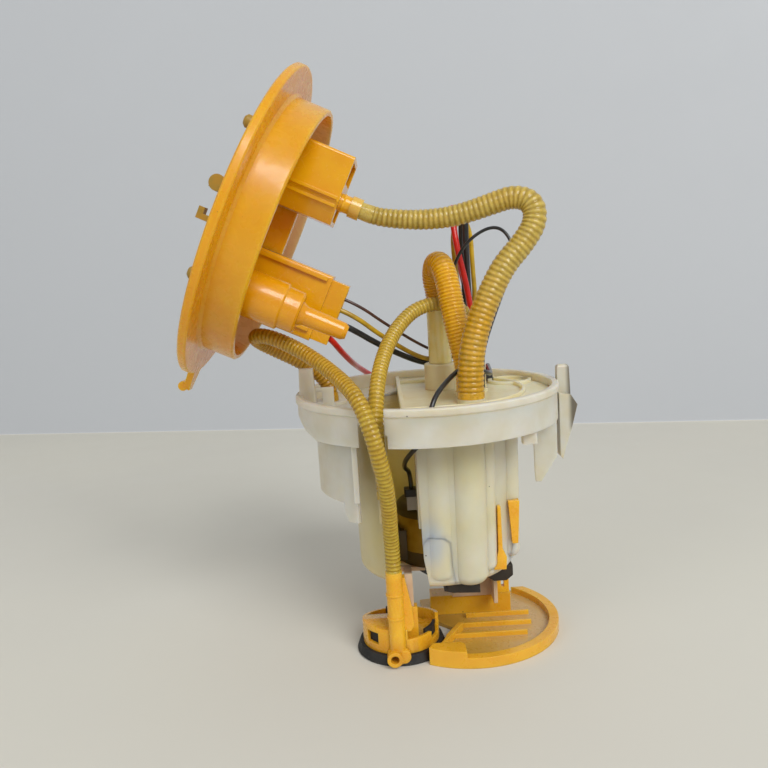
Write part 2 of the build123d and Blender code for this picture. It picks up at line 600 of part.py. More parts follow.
def pump_inlet():
    """Inlet end cap with the impeller chamber and the side inlet port."""
    z0 = POT_FLOOR + 0.1
    z1 = CAN_Z
    cap = cyl(CAN_R, z0, z1)
    cap -= cyl(IMPELLER_R + 0.4, POT_FLOOR + 3.1, z1 + 1)
    cap -= cyl(SHAFT_R + RUN_GAP, z0 - 1, z1)
    cap -= cyl(2.6, z0 - 1, z1, 8.5, 0)
    cap -= tube(8.0, 6.0, z0 - 1, z0 + 1.0)
    return Pos(PUMP_X, PUMP_Y, 0) * cap


def pump_isolator():
    """Rubber isolator that grips the lower end of the pump."""
    ring = spin([(CAN_R + 0.05, POT_FLOOR + 2.1), (24.3, POT_FLOOR + 2.1), (24.3, POT_FLOOR + 4.0), (22.0, 46.0),
                 (24.3, 50.0), (24.3, 53.0), (CAN_R + 0.05, 53.0)])
    ring = Pos(PUMP_X, PUMP_Y, 0) * ring
    return ring - block(SLOT_X0 - 8, SLOT_X1 + 6, -30, -11.5, 30, 60)


# ---- below the pot -----------------------------------------------------------------------------
def strainer_frame():
    """Black frame under the pot with the front block and the raised right wing."""
    z1 = POT_BOTTOM
    body = slab_xy([(3.0, -30.0), (18.0, -31.0), (24.0, -20.0), (30.0, -15.0), (30.0, 14.0), (10.0, 26.0),
                    (-14.0, 22.0), (-14.0, 0.0)], z1 - 2.0, z1)
    body += slab_xz([(2.0, z1 - 4.6), (6.0, z1 - 5.6), (18.5, z1 - 6.2), (18.5, z1 - 1.9), (4.4, z1 - 1.9)],
                    -30.0, -12.0)
    body += block(0.0, 28.0, 4.0, 14.0, SEAT_H, z1 - 1.9)
    body -= cyl(8.0, z1 - 3, z1 + 1, PUMP_X, PUMP_Y)
    wing = slab_xz([(23.0, z1 - 4.5), (27.0, z1 - 7.5), (33.0, z1 - 7.5), (36.2, z1 - 5.0), (36.2, z1 - 0.05),
                    (23.0, z1 - 0.05)], -15.0, -9.5)
    return body + wing - pot_outer(-0.02)


def baffle_wall():
    """Cream wall between the tray and the strainer frame."""
    z1 = POT_BOTTOM - 2.0
    y = TRAY_BAR_Y - 5.0
    wall = block(8.0, 29.4, y, y + 1.8, TRAY_BAR_H, SEAT_H)
    wall += block(8.0, 29.4, y - 1.8, y, TRAY_BAR_H, z1)
    wall += block(27.6, 29.4, y - 12.0, y - 1.7, TRAY_BAR_H, z1)
    return wall


def tray_outline():
    """Plan of the tray: a half-moon with a wedge cut out of its left side."""
    disc = Pos(TRAY_X, TRAY_Y) * Circle(TRAY_R)
    keep = make_face(Polyline((-8.0, -60.0), (70.0, -60.0), (70.0, 26.0), (30.0, 30.0), (-8.0, 24.0),
                              (-5.5, 2.5), (9.0, -13.0), (-7.0, -41.0), close=True))
    return (disc & keep) - Pos(FOOT_X, FOOT_Y) * Circle(FOOT_R + 0.5)


def floor_tray():
    """Half-moon tray: thin floor, raised rim, thick front block, ribs and the cross wall."""
    plan = tray_outline()
    tray = extrude(plan, TRAY_T)
    inner = Pos(TRAY_X, TRAY_Y) * Circle(TRAY_R - RIM_W)
    rim = extrude(plan - inner, RIM_H)
    rim = rim & block(-8, 70, -60, 26, -1, 20)
    tray += rim
    slab = extrude(plan & make_face(Polyline((-8, -60), (9.5, -60), (9.5, -39.5), (7.5, -37.0), (-8, -37.0),
                                             close=True)), TRAY_BLOCK_H)
    tray += slab
    wide = sqrt(TRAY_R ** 2 - 1.0)
    for y, x0, h in ((-1.0, 14.0, 4.4), (-11.5, 10.0, 4.4), (-22.0, 5.0, 4.4)):
        x1 = TRAY_X + sqrt((TRAY_R - RIM_W) ** 2 - (y - TRAY_Y) ** 2) - 9.0
        tray += block(x0, x1, y - 0.6, y + 0.6, TRAY_T - 0.1, h)
    edge = make_face(Polyline((9.0, -13.0), (11.4, -13.8), (-3.4, -39.6), (-5.4, -38.2), close=True))
    tray += extrude(edge & plan, RIM_H + 0.8)
    y0 = TRAY_BAR_Y - 5.0
    y1 = TRAY_BAR_Y + 5.0
    tray += block(-3.0, TRAY_BAR_X, y0, y0 + 1.8, TRAY_T - 0.1, TRAY_BAR_H)
    tray += block(-3.0, TRAY_BAR_X, y1 - 1.8, y1, TRAY_T - 0.1, TRAY_BAR_H)
    tray += block(-3.0, TRAY_BAR_X, y0, y1, TRAY_BAR_H - 2.0, TRAY_BAR_H)
    return tray


def tray_bracket():
    """Snap prongs that rise from the tray along the right of the pot."""
    y = TRAY_BAR_Y - 4.0
    post = block(30.4, 36.9, y - 1.0, y + 2.5, TRAY_BAR_H, POT_BOTTOM)
    post -= block(32.9, 34.5, y - 2.0, y + 3.0, TRAY_BAR_H + 3.0, POT_BOTTOM - 5.0)
    return post - pot_outer(-0.02)


def pot_clip():
    """Pair of slim snap ribs that grip the right of the pot."""
    z1 = CLIP_TOP
    rib1 = slab_xz([(25.4, 38.0), (31.0, 38.0), (31.4, 44.0), (29.6, 48.0), (29.4, z1), (27.9, z1), (27.6, 47.0)],
                   -29.5, -20.0)
    rib2 = slab_xz([(35.4, 47.6), (38.0, 47.6), (39.2, z1), (34.0, z1)], -22.6, -12.0)
    return rib1 + rib2 - pot_outer(-0.02)


# ---- jet pump foot -----------------------------------------------------------------------------
def foot_seal():
    """Rubber foot ring with an upstand that shows through the cup windows."""
    r = CUP_R - CUP_WALL
    profile = [(r - 2.4, 0), (FOOT_R - 0.6, 0), (FOOT_R, 0.8), (FOOT_R - 1.4, SEAL_H), (r - 2.4, SEAL_H)]
    ring = spin(profile)
    for a in CUP_WINDOWS:
        ring += sector(r - 1.3, r - 0.1, SEAL_H - 0.1, SEAL_H + 8.5, a - 20, a + 20)
    return Pos(FOOT_X, FOOT_Y, 0) * ring - riser_form(0.05)


def riser_form(grow):
    """Jet pipe with its side channel and the forward nozzle, with bores left out."""
    g = grow
    body = cyl(RISER_R + g, NOZZLE_Z - 3.4 - g, RISER_TOP, RISER_X, RISER_Y)
    nozzle = Cylinder(3.5 + g, 7.0, align=BASE)
    body += Pos(RISER_X - 1.6, RISER_Y + 1.0, NOZZLE_Z) * Rot(90, 0, 0) * nozzle
    body += Pos(RISER_X + 2.6, RISER_Y + 2.0, NOZZLE_Z) * Rot(90, 0, 0) * Cylinder(3.1 + g, 5.5, align=BASE)
    side = slab_xz([(RISER_X + 2.0, SIDE_BASE), (SIDE_X - 2.6 + g, SIDE_BASE), (SIDE_X - 1.8 + g, SIDE_BASE - 4.0),
                    (SIDE_X + g, 26.0), (SIDE_X + 0.6 + g, 17.0), (SIDE_X - 1.0, 14.5 - g),
                    (RISER_X + 2.0, 14.5 - g)],
                   SIDE_Y - 3.0 - g, SIDE_Y + 1.4 + g)
    return body + side


def jet_riser():
    body = riser_form(0.0)
    body -= cyl(2.2, NOZZLE_Z, RISER_TOP + 1, RISER_X, RISER_Y)
    body -= Pos(RISER_X - 1.6, RISER_Y, NOZZLE_Z) * Rot(90, 0, 0) * Cylinder(NOZZLE_BORE, 12.0, align=BASE)
    for z in (22.0, 33.0):
        body += tube(RISER_R + 0.35, RISER_R - 0.5, z, z + 1.0, RISER_X, RISER_Y)
    return body


def branch_nipple():
    """Elbow nipple on the outside of the pot that takes the branch hose."""
    x = BRANCH_END_X
    y = BRANCH_END_Y
    z = BRANCH_END_Z
    body = tube(2.9, 1.5, z - 7.0, z, x, y)
    body += cyl(2.9, z - 11.0, z - 6.9, x, y)
    elbow = Pos(x, y, z - 8.2) * Rot(-90, 0, 0) * Cylinder(2.6, 8.0, align=BASE)
    return body + elbow - pot_outer(-0.02)


def foot_cup():
    """Jet pump cup: stepped wall with three windows, a sloping roof over its left half and a slotted floor."""
    r = CUP_R
    cup = tube(r, r - CUP_WALL, SEAL_H, CUP_Z1)
    cup = Pos(FOOT_X, FOOT_Y, 0) * cup
    z0 = FLOOR_Z
    z1 = FLOOR_Z + FLOOR_T
    floor = tube(r - CUP_WALL - 1.6, STEM_R + 0.1, z0, z1)
    for i in range(6):
        floor -= Rot(0, 0, 60 * i) * block(3.6, 7.8, -1.5, 1.5, z0 - 1, z1 + 1)
    for a in CUP_WINDOWS:
        floor += Rot(0, 0, a + 58) * block(r - CUP_WALL - 2.0, r - 0.2, -3.0, 3.0, z0, z1)
    cup += Pos(FOOT_X, FOOT_Y, 0) * floor
    roof = Pos(FOOT_X, FOOT_Y, 0) * cyl(r, CUP_Z1 - 1.4, CUP_Z1 + 0.4)
    roof = roof & block(FOOT_X - 30, RISER_X + 4.5, -60, 30, 0, 40)
    cup += roof
    cup -= slab_xz([(RISER_X + 4.6, SEAL_H + 6.6), (FOOT_X + 30, SEAL_H + 7.8), (FOOT_X + 30, 40),
                    (RISER_X + 4.6, 40)], FOOT_Y - 30, FOOT_Y + 1.0)
    slope = Pos(FOOT_X, FOOT_Y - 4.0, CUP_Z1 + 0.4) * Rot(-12, 0, 0) * Box(60, 60, 12, align=BASE)
    cup -= slope & block(-80, 40, FOOT_Y - 4.0, 40, 0, 60)
    for a in CUP_WINDOWS:
        win = Rot(0, 0, a) * block(r - 4, r + 3, -3.6, 3.6, SEAL_H + 3.6, SEAL_H + 9.0)
        cup -= Pos(FOOT_X, FOOT_Y, 0) * win
    cup -= riser_form(0.05)
    holder = block(RAIL_X0 - 1.4, RAIL_X1 + 1.4, RAIL_Y0 - 1.1, RAIL_Y1 + 1.4, z0, RAIL_FOOT + 4.0)
    holder -= block(RAIL_X0 - RUN_GAP, RAIL_X1 + RUN_GAP, RAIL_Y0 - RUN_GAP, RAIL_Y1 + RUN_GAP, RAIL_FOOT, 60)
    holder -= Pos(FOOT_X, FOOT_Y, 0) * cyl(9.0, z0, z0 + 4.4)
    return cup + holder


def foot_valve():
    z = FLOOR_Z + FLOOR_T + 0.02
    disc = cyl(8.2, z, z + 0.9) + cone(8.2, 6.0, z + 0.9, z + 1.5)
    disc += cyl(STEM_R, FLOOR_Z - FOOT_LIFT - 0.5, z + 0.1)
    disc += cyl(STEM_R + 0.8, FLOOR_Z - FOOT_LIFT - 1.3, FLOOR_Z - FOOT_LIFT - 0.4)
    return Pos(FOOT_X, FOOT_Y, 0) * disc


def guide_rail():
    """Cream rail that ties the jet foot to the underside of the pot."""
    rail = block(RAIL_X0, RAIL_X1, RAIL_Y0, RAIL_Y1, RAIL_FOOT, POT_FLOOR + 3.0)
    rail += block(RAIL_X0, RAIL_X1, RAIL_Y1 - 0.1, -12.0, POT_BOTTOM, POT_FLOOR)
    rail += block(-19.0, -5.6, -15.0, -12.0, POT_BOTTOM, POT_FLOOR)
    return rail


# ---- level sender ------------------------------------------------------------------------------
def sender_housing():
    """Sender carrier hung from the collar floor behind the pot, with its pivot boss."""
    body = block(SENDER_X - 7.0, SENDER_X + 7.0, SENDER_Y - 5.0, SENDER_Y, SENDER_Z - 8.0, WEB_Z)
    body = fillet(body.edges().filter_by(Axis.Y), 2.0)
    body += block(SENDER_X - 5.0, SENDER_X + 5.0, SENDER_Y - 5.0, SENDER_Y - 1.0, WEB_Z - 4.0, WEB_Z)
    pin = Pos(SENDER_X, SENDER_Y, SENDER_Z) * Rot(-90, 0, 0) * Cylinder(1.6, 4.4, align=BASE)
    return body + pin


def sender_card():
    """Ceramic resistance card on the carrier's outer face."""
    card = block(SENDER_X - 5.5, SENDER_X + 5.5, SENDER_Y, SENDER_Y + 0.8, SENDER_Z + 5.0, SENDER_Z + 19.0)
    return card


def sender_arm():
    """Hub and wire arm of the float."""
    hub = Cylinder(4.0, 3.0, align=BASE) - Cylinder(1.6 + RUN_GAP, 8.0)
    hub = Pos(SENDER_X, SENDER_Y + 1.0, SENDER_Z) * Rot(-90, 0, 0) * hub
    a = Vector(SENDER_X - 3.0, SENDER_Y + 2.5, SENDER_Z - 2.0)
    b = Vector(FLOAT_AT[0] + FLOAT_SIZE[0] / 2 + 4.0, SENDER_Y + 2.5, FLOAT_AT[2] + 4.5)
    c = Vector(FLOAT_AT[0] + FLOAT_SIZE[0] / 2, FLOAT_AT[1], FLOAT_AT[2])
    wire = None
    for p, q in ((a, b), (b, c)):
        d = q - p
        rod = Plane(origin=p, z_dir=d).location * Cylinder(ARM_R, d.length, align=BASE)
        wire = rod if wire is None else wire + rod + Pos(*p) * Sphere(ARM_R)
    return hub + wire


def sender_float():
    dx, dy, dz = FLOAT_SIZE
    x, y, z = FLOAT_AT
    body = block(x - dx / 2, x + dx / 2, y - dy / 2, y + dy / 2, z - dz / 2, z + dz / 2)
    body = fillet(body.edges().filter_by(Axis.Y), 3.0)
    return body - sender_arm()


# ---- hoses and leads ---------------------------------------------------------------------------
def flange_exit(s, m, z, step):
    """Start of a route on the flange: its seat and a first run square to it."""
    return [flange_point(s, m, z), flange_point(s, m, z - step)]


def hoses():
    x, y = FEED_SOCKET
    cord("feed_hose", 11.0, flange_exit(FEED_S, FEED_M, -BLOCK_END - 10.0, 6.5) + [
        (-10.5, -13.3, 199.4), (1.5, -14.8, 198.2), (13.0, -16.4, 198.5), (23.5, -18.4, 200.6),
        (32.6, -20.6, 203.2), (41.6, -23.0, 205.6), (49.2, -26.0, 202.4), (49.8, -27.6, 193.6),
        (43.4, -28.8, 184.6), (34.8, -30.0, 176.0), (28.4, -31.0, 164.6), (22.8, -31.8, 152.6),
        (19.4, -32.3, 141.0), (x, y, 130.0), (x, y, LID_TOP + 2.0)])
    x, y = OUTLET_SOCKET
    cord("outlet_hose", 11.5, [
        (STUB_X, STUB_Y, CUFF_TOP), (STUB_X, STUB_Y, 163.4), (7.0, 12.5, 172.0), (7.8, 7.0, 179.2),
        (10.6, -0.4, 178.2), (12.4, -5.2, 169.8), (13.6, -7.8, 160.0), (15.2, -9.8, 149.8),
        (17.2, -11.4, 139.6), (x, y, 129.0), (x, y, LID_TOP + 2.0)])
    x, y = BRANCH_SOCKET
    cord("branch_hose", 7.0, [
        (x, y, BRANCH_TOP), (x, y, 139.6), (24.6, 6.4, 148.0), (20.4, 4.6, 155.4), (13.2, 3.0, 159.4),
        (4.6, 1.4, 160.0), (-4.0, -1.6, 157.4), (-11.4, -8.8, 151.4), (-17.0, -19.0, 144.2),
        (-20.8, -30.4, 136.4), (-23.0, -40.8, 128.4), (-24.2, -47.6, 119.6), (-24.8, -50.0, 110.6),
        (-24.6, -48.6, 102.4), (-24.4, -43.4, 95.4), (-23.2, -37.8, 90.4), (BRANCH_END_X, BRANCH_END_Y, 84.6),
        (BRANCH_END_X, BRANCH_END_Y, BRANCH_END_Z)])
    cord("jet_hose", 7.0, [
        (RISER_X, RISER_Y, RISER_TOP), (RISER_X, RISER_Y, 54.0), (-21.2, -43.4, 65.4), (-21.2, -50.6, 78.0),
        (-22.0, -57.2, 90.8), (-24.2, -61.8, 103.2), (-26.8, -62.4, 114.8), (-30.4, -58.2, 124.6),
        (-35.8, -48.4, 130.6), (-42.6, -37.2, 135.4), (-51.4, -28.2, 141.2), (-61.0, -21.8, 146.4),
        (-70.0, -18.4, 150.3), (-76.8, -14.4, 151.2), (-78.6, -7.6, 148.8), (-75.6, -1.2, 145.4),
        (-69.4, 2.0, 141.4), (-61.4, 3.4, 136.8), (-54.0, 4.6, 131.8), (-48.6, 5.6, 126.0),
        (-46.0, 6.0, 119.8), (-46.0, 6.0, WEB_TOP + 1.5)])


def leads():
    z = -CONN_NOSE + 0.5
    top = LID_TOP + GLAND_H
    cord("brown_lead", 1.5, flange_exit(WIRE_S, WIRE_M[0], z, 8.0) + [
        (-18.0, 9.4, 151.4), (1.8, 23.0, 137.0), (11.6, 31.4, 132.6), (18.8, 32.8, 129.6), (18.8, 32.8, top)])
    cord("yellow_lead", 2.4, flange_exit(WIRE_S, WIRE_M[1], z, 8.0) + [
        (-19.8, 9.8, 145.2), (1.8, 27.8, 129.6), (12.6, 38.6, 130.4), (20.8, 35.0, 144.4), (20.6, 27.4, 166.4),
        (18.6, 23.6, 184.2), (18.9, 24.0, 194.0), (22.0, 26.4, 200.0), (26.2, 29.6, 199.2), (28.6, 31.0, 191.6),
        (28.6, 29.6, 177.4), (29.2, 27.8, 158.6),
        (24.6, 31.4, 138.8), (22.6, 32.4, 129.6), (22.6, 32.4, top)])
    cord("black_lead", 3.0, flange_exit(WIRE_S, WIRE_M[2], z, 7.0) + [
        (-20.4, 10.8, 140.4), (-0.4, 28.4, 128.6), (10.6, 41.6, 126.4), (22.4, 40.6, 140.6), (24.8, 33.8, 161.6),
        (24.2, 34.0, 182.6), (24.2, 35.0, 196.0), (24.8, 31.4, 205.0), (25.2, 25.0, 207.6), (25.0, 20.0, 201.6),
        (24.6, 19.6, 190.0), (25.0, 22.2, 172.0),
        (25.8, 24.4, 152.6), (26.6, 29.4, 133.6), (26.6, 29.4, top)])
    cord("red_lead", 3.0, flange_exit(WIRE_S, WIRE_M[3], z, 4.6) + [
        (-37.4, 6.6, 142.8), (-38.2, 16.0, 140.6), (-38.8, 31.0, 135.2), (-34.4, 49.0, 126.6),
        (-28.6, 63.6, 120.2), (-20.0, 71.4, 113.6), (-2.6, 71.0, 105.4),
        (11.4, 58.6, 100.4), (19.4, 44.6, 97.6), (SENDER_X - 7.0 - 6.0, 39.0, 97.0), (SENDER_X - 7.0, 39.0, 97.0)])
    cord("supply_loop", 3.0, [
        (30.6, 29.6, top), (30.6, 29.6, 131.6), (26.4, 19.0, 148.6), (23.8, 17.6, 167.0), (19.8, 18.6, 186.4),
        (18.4, 22.4, 203.6), (20.2, 33.0, 207.4), (21.2, 40.2, 194.6), (23.8, 40.4, 173.6), (28.4, 39.6, 151.6),
        (30.8, 33.4, 134.4), (30.8, 33.4, top)])
    x, y = SENDER_EXIT
    cord("sender_lead", 1.6, [
        (18.8, 29.2, top), (18.8, 29.2, 131.6), (17.0, 24.6, 150.4), (14.8, 17.6, 170.0), (23.0, 11.6, 188.6),
        (39.6, 7.6, 196.6), (47.0, 2.0, 181.0), (35.8, -2.6, 157.6), (28.6, -2.6, 138.6), (x, y, 129.0),
        (x, y, LID_TOP + 1.5)])
    cord("pump_lead", 2.2, [
        (34.2, 30.6, top), (34.2, 30.6, 129.6), (33.8, 14.6, 131.4), (32.6, -4.0, 129.6), (28.6, -18.6, 130.0),
        (16.6, -22.4, 131.6), (6.8, -34.6, 128.6), (*LEAD_HOLE, 122.6), (*LEAD_HOLE, 106.6),
        (-12.2, -37.4, 95.4), (-13.4, -22.4, 87.0), (-10.2, -13.3, 82.6), (-10.2, -13.3, CAP_TOP + 9.5)])


# ---- build -------------------------------------------------------------------------------------
def build():
    hoses()
    leads()
    save("flange_cover", on_flange(flange_cover()))
    save("port_block", on_flange(port_block()))
    save("feed_cuff", on_flange(feed_cuff()))
    save("relief_valve", on_flange(relief_valve()))
    save("harness_connector", on_flange(harness_connector()))
    save("harness_seal", on_flange(harness_seal()))
    save("outer_socket", on_flange(outer_socket()))
    save("outer_pins", on_flange(outer_pins()))
    save("feed_spigot", on_flange(outer_spigot(FEED_OUT_M)))
    save("return_spigot", on_flange(outer_spigot(RETURN_OUT_M)))
    save("reservoir_collar", reservoir_collar())
    save("side_bracket", side_bracket())
    save("swirl_pot", swirl_pot())
    save("strainer_cup", strainer_cup())
    save("pump_lid", pump_lid())
    save("wire_gland", wire_gland())
    save("outlet_cuff", outlet_cuff())
    save("check_poppet", check_poppet())
    save("check_spring", check_spring())
    save("pump_can", pump_can())
    save("pump_cap", pump_cap())
    save("pump_terminal", pump_terminal())
    save("lead_plug", lead_plug())
    save("magnets", magnets())
    save("armature", armature())
    save("brushes", brushes())
    save("impeller", impeller())
    save("pump_inlet", pump_inlet())
    save("pump_isolator", pump_isolator())
    save("strainer_frame", strainer_frame())
    save("baffle_wall", baffle_wall())
    save("floor_tray", floor_tray())
    save("tray_bracket", tray_bracket())
    save("pot_clip", pot_clip())
    save("foot_seal", foot_seal())
    save("foot_cup", foot_cup())
    save("foot_valve", foot_valve())
    save("jet_riser", jet_riser())
    save("branch_nipple", branch_nipple())
    save("guide_rail", guide_rail())
    save("sender_housing", sender_housing())
    save("sender_card", sender_card())
    save("sender_arm", sender_arm())
    save("sender_float", sender_float())


build()
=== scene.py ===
"""Fuel pump module: stage, hoses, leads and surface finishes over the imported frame."""

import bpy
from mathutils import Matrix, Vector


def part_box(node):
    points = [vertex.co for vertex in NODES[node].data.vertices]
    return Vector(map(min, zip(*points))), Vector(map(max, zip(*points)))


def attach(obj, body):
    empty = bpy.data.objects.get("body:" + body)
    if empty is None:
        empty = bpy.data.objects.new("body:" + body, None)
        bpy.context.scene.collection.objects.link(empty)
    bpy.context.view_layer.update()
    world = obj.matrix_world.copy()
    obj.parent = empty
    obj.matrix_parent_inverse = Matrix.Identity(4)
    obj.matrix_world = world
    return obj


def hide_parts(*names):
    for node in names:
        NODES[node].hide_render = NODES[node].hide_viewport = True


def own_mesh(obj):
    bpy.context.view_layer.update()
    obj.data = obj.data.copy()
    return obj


bl_info = {
    "name": "Fuel pump module",
    "version": (1, 0, 0),
    "blender": (4, 5, 0),
    "location": "View3D > Sidebar > Fuel pump",
    "description": "Dresses a fuel pump module: hoses, leads, fittings, finishes and stage",
    "category": "Object",
}

import math

import bmesh
import bpy
from bpy.props import FloatProperty, FloatVectorProperty, IntProperty, PointerProperty
from mathutils import Matrix, Vector

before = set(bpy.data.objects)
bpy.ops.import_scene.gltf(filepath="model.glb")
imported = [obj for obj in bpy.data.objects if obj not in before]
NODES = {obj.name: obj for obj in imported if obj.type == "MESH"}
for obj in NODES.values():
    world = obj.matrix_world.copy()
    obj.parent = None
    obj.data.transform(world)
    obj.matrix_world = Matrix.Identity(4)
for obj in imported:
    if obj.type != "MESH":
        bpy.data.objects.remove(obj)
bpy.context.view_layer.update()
ROOT = "module"


def rgb(r, g, b):
    """A colour given in screen steps of 0 to 255, as the linear colour that shaders take."""
    def linear(c):
        c = c / 255
        return c / 12.92 if c <= 0.04045 else ((c + 0.055) / 1.055) ** 2.4
    return (linear(r), linear(g), linear(b), 1.0)


def colour(text, default, about):
    """A colour that a user may change, given in screen steps."""
    return FloatVectorProperty(name=text, description=about, default=rgb(*default), subtype="COLOR",
                               size=4, min=0, max=1)


def length(text, default, about, low=0.0):
    """A length that a user may change, in metres."""
    return FloatProperty(name=text, description=about, default=default, min=low, unit="LENGTH", precision=5)


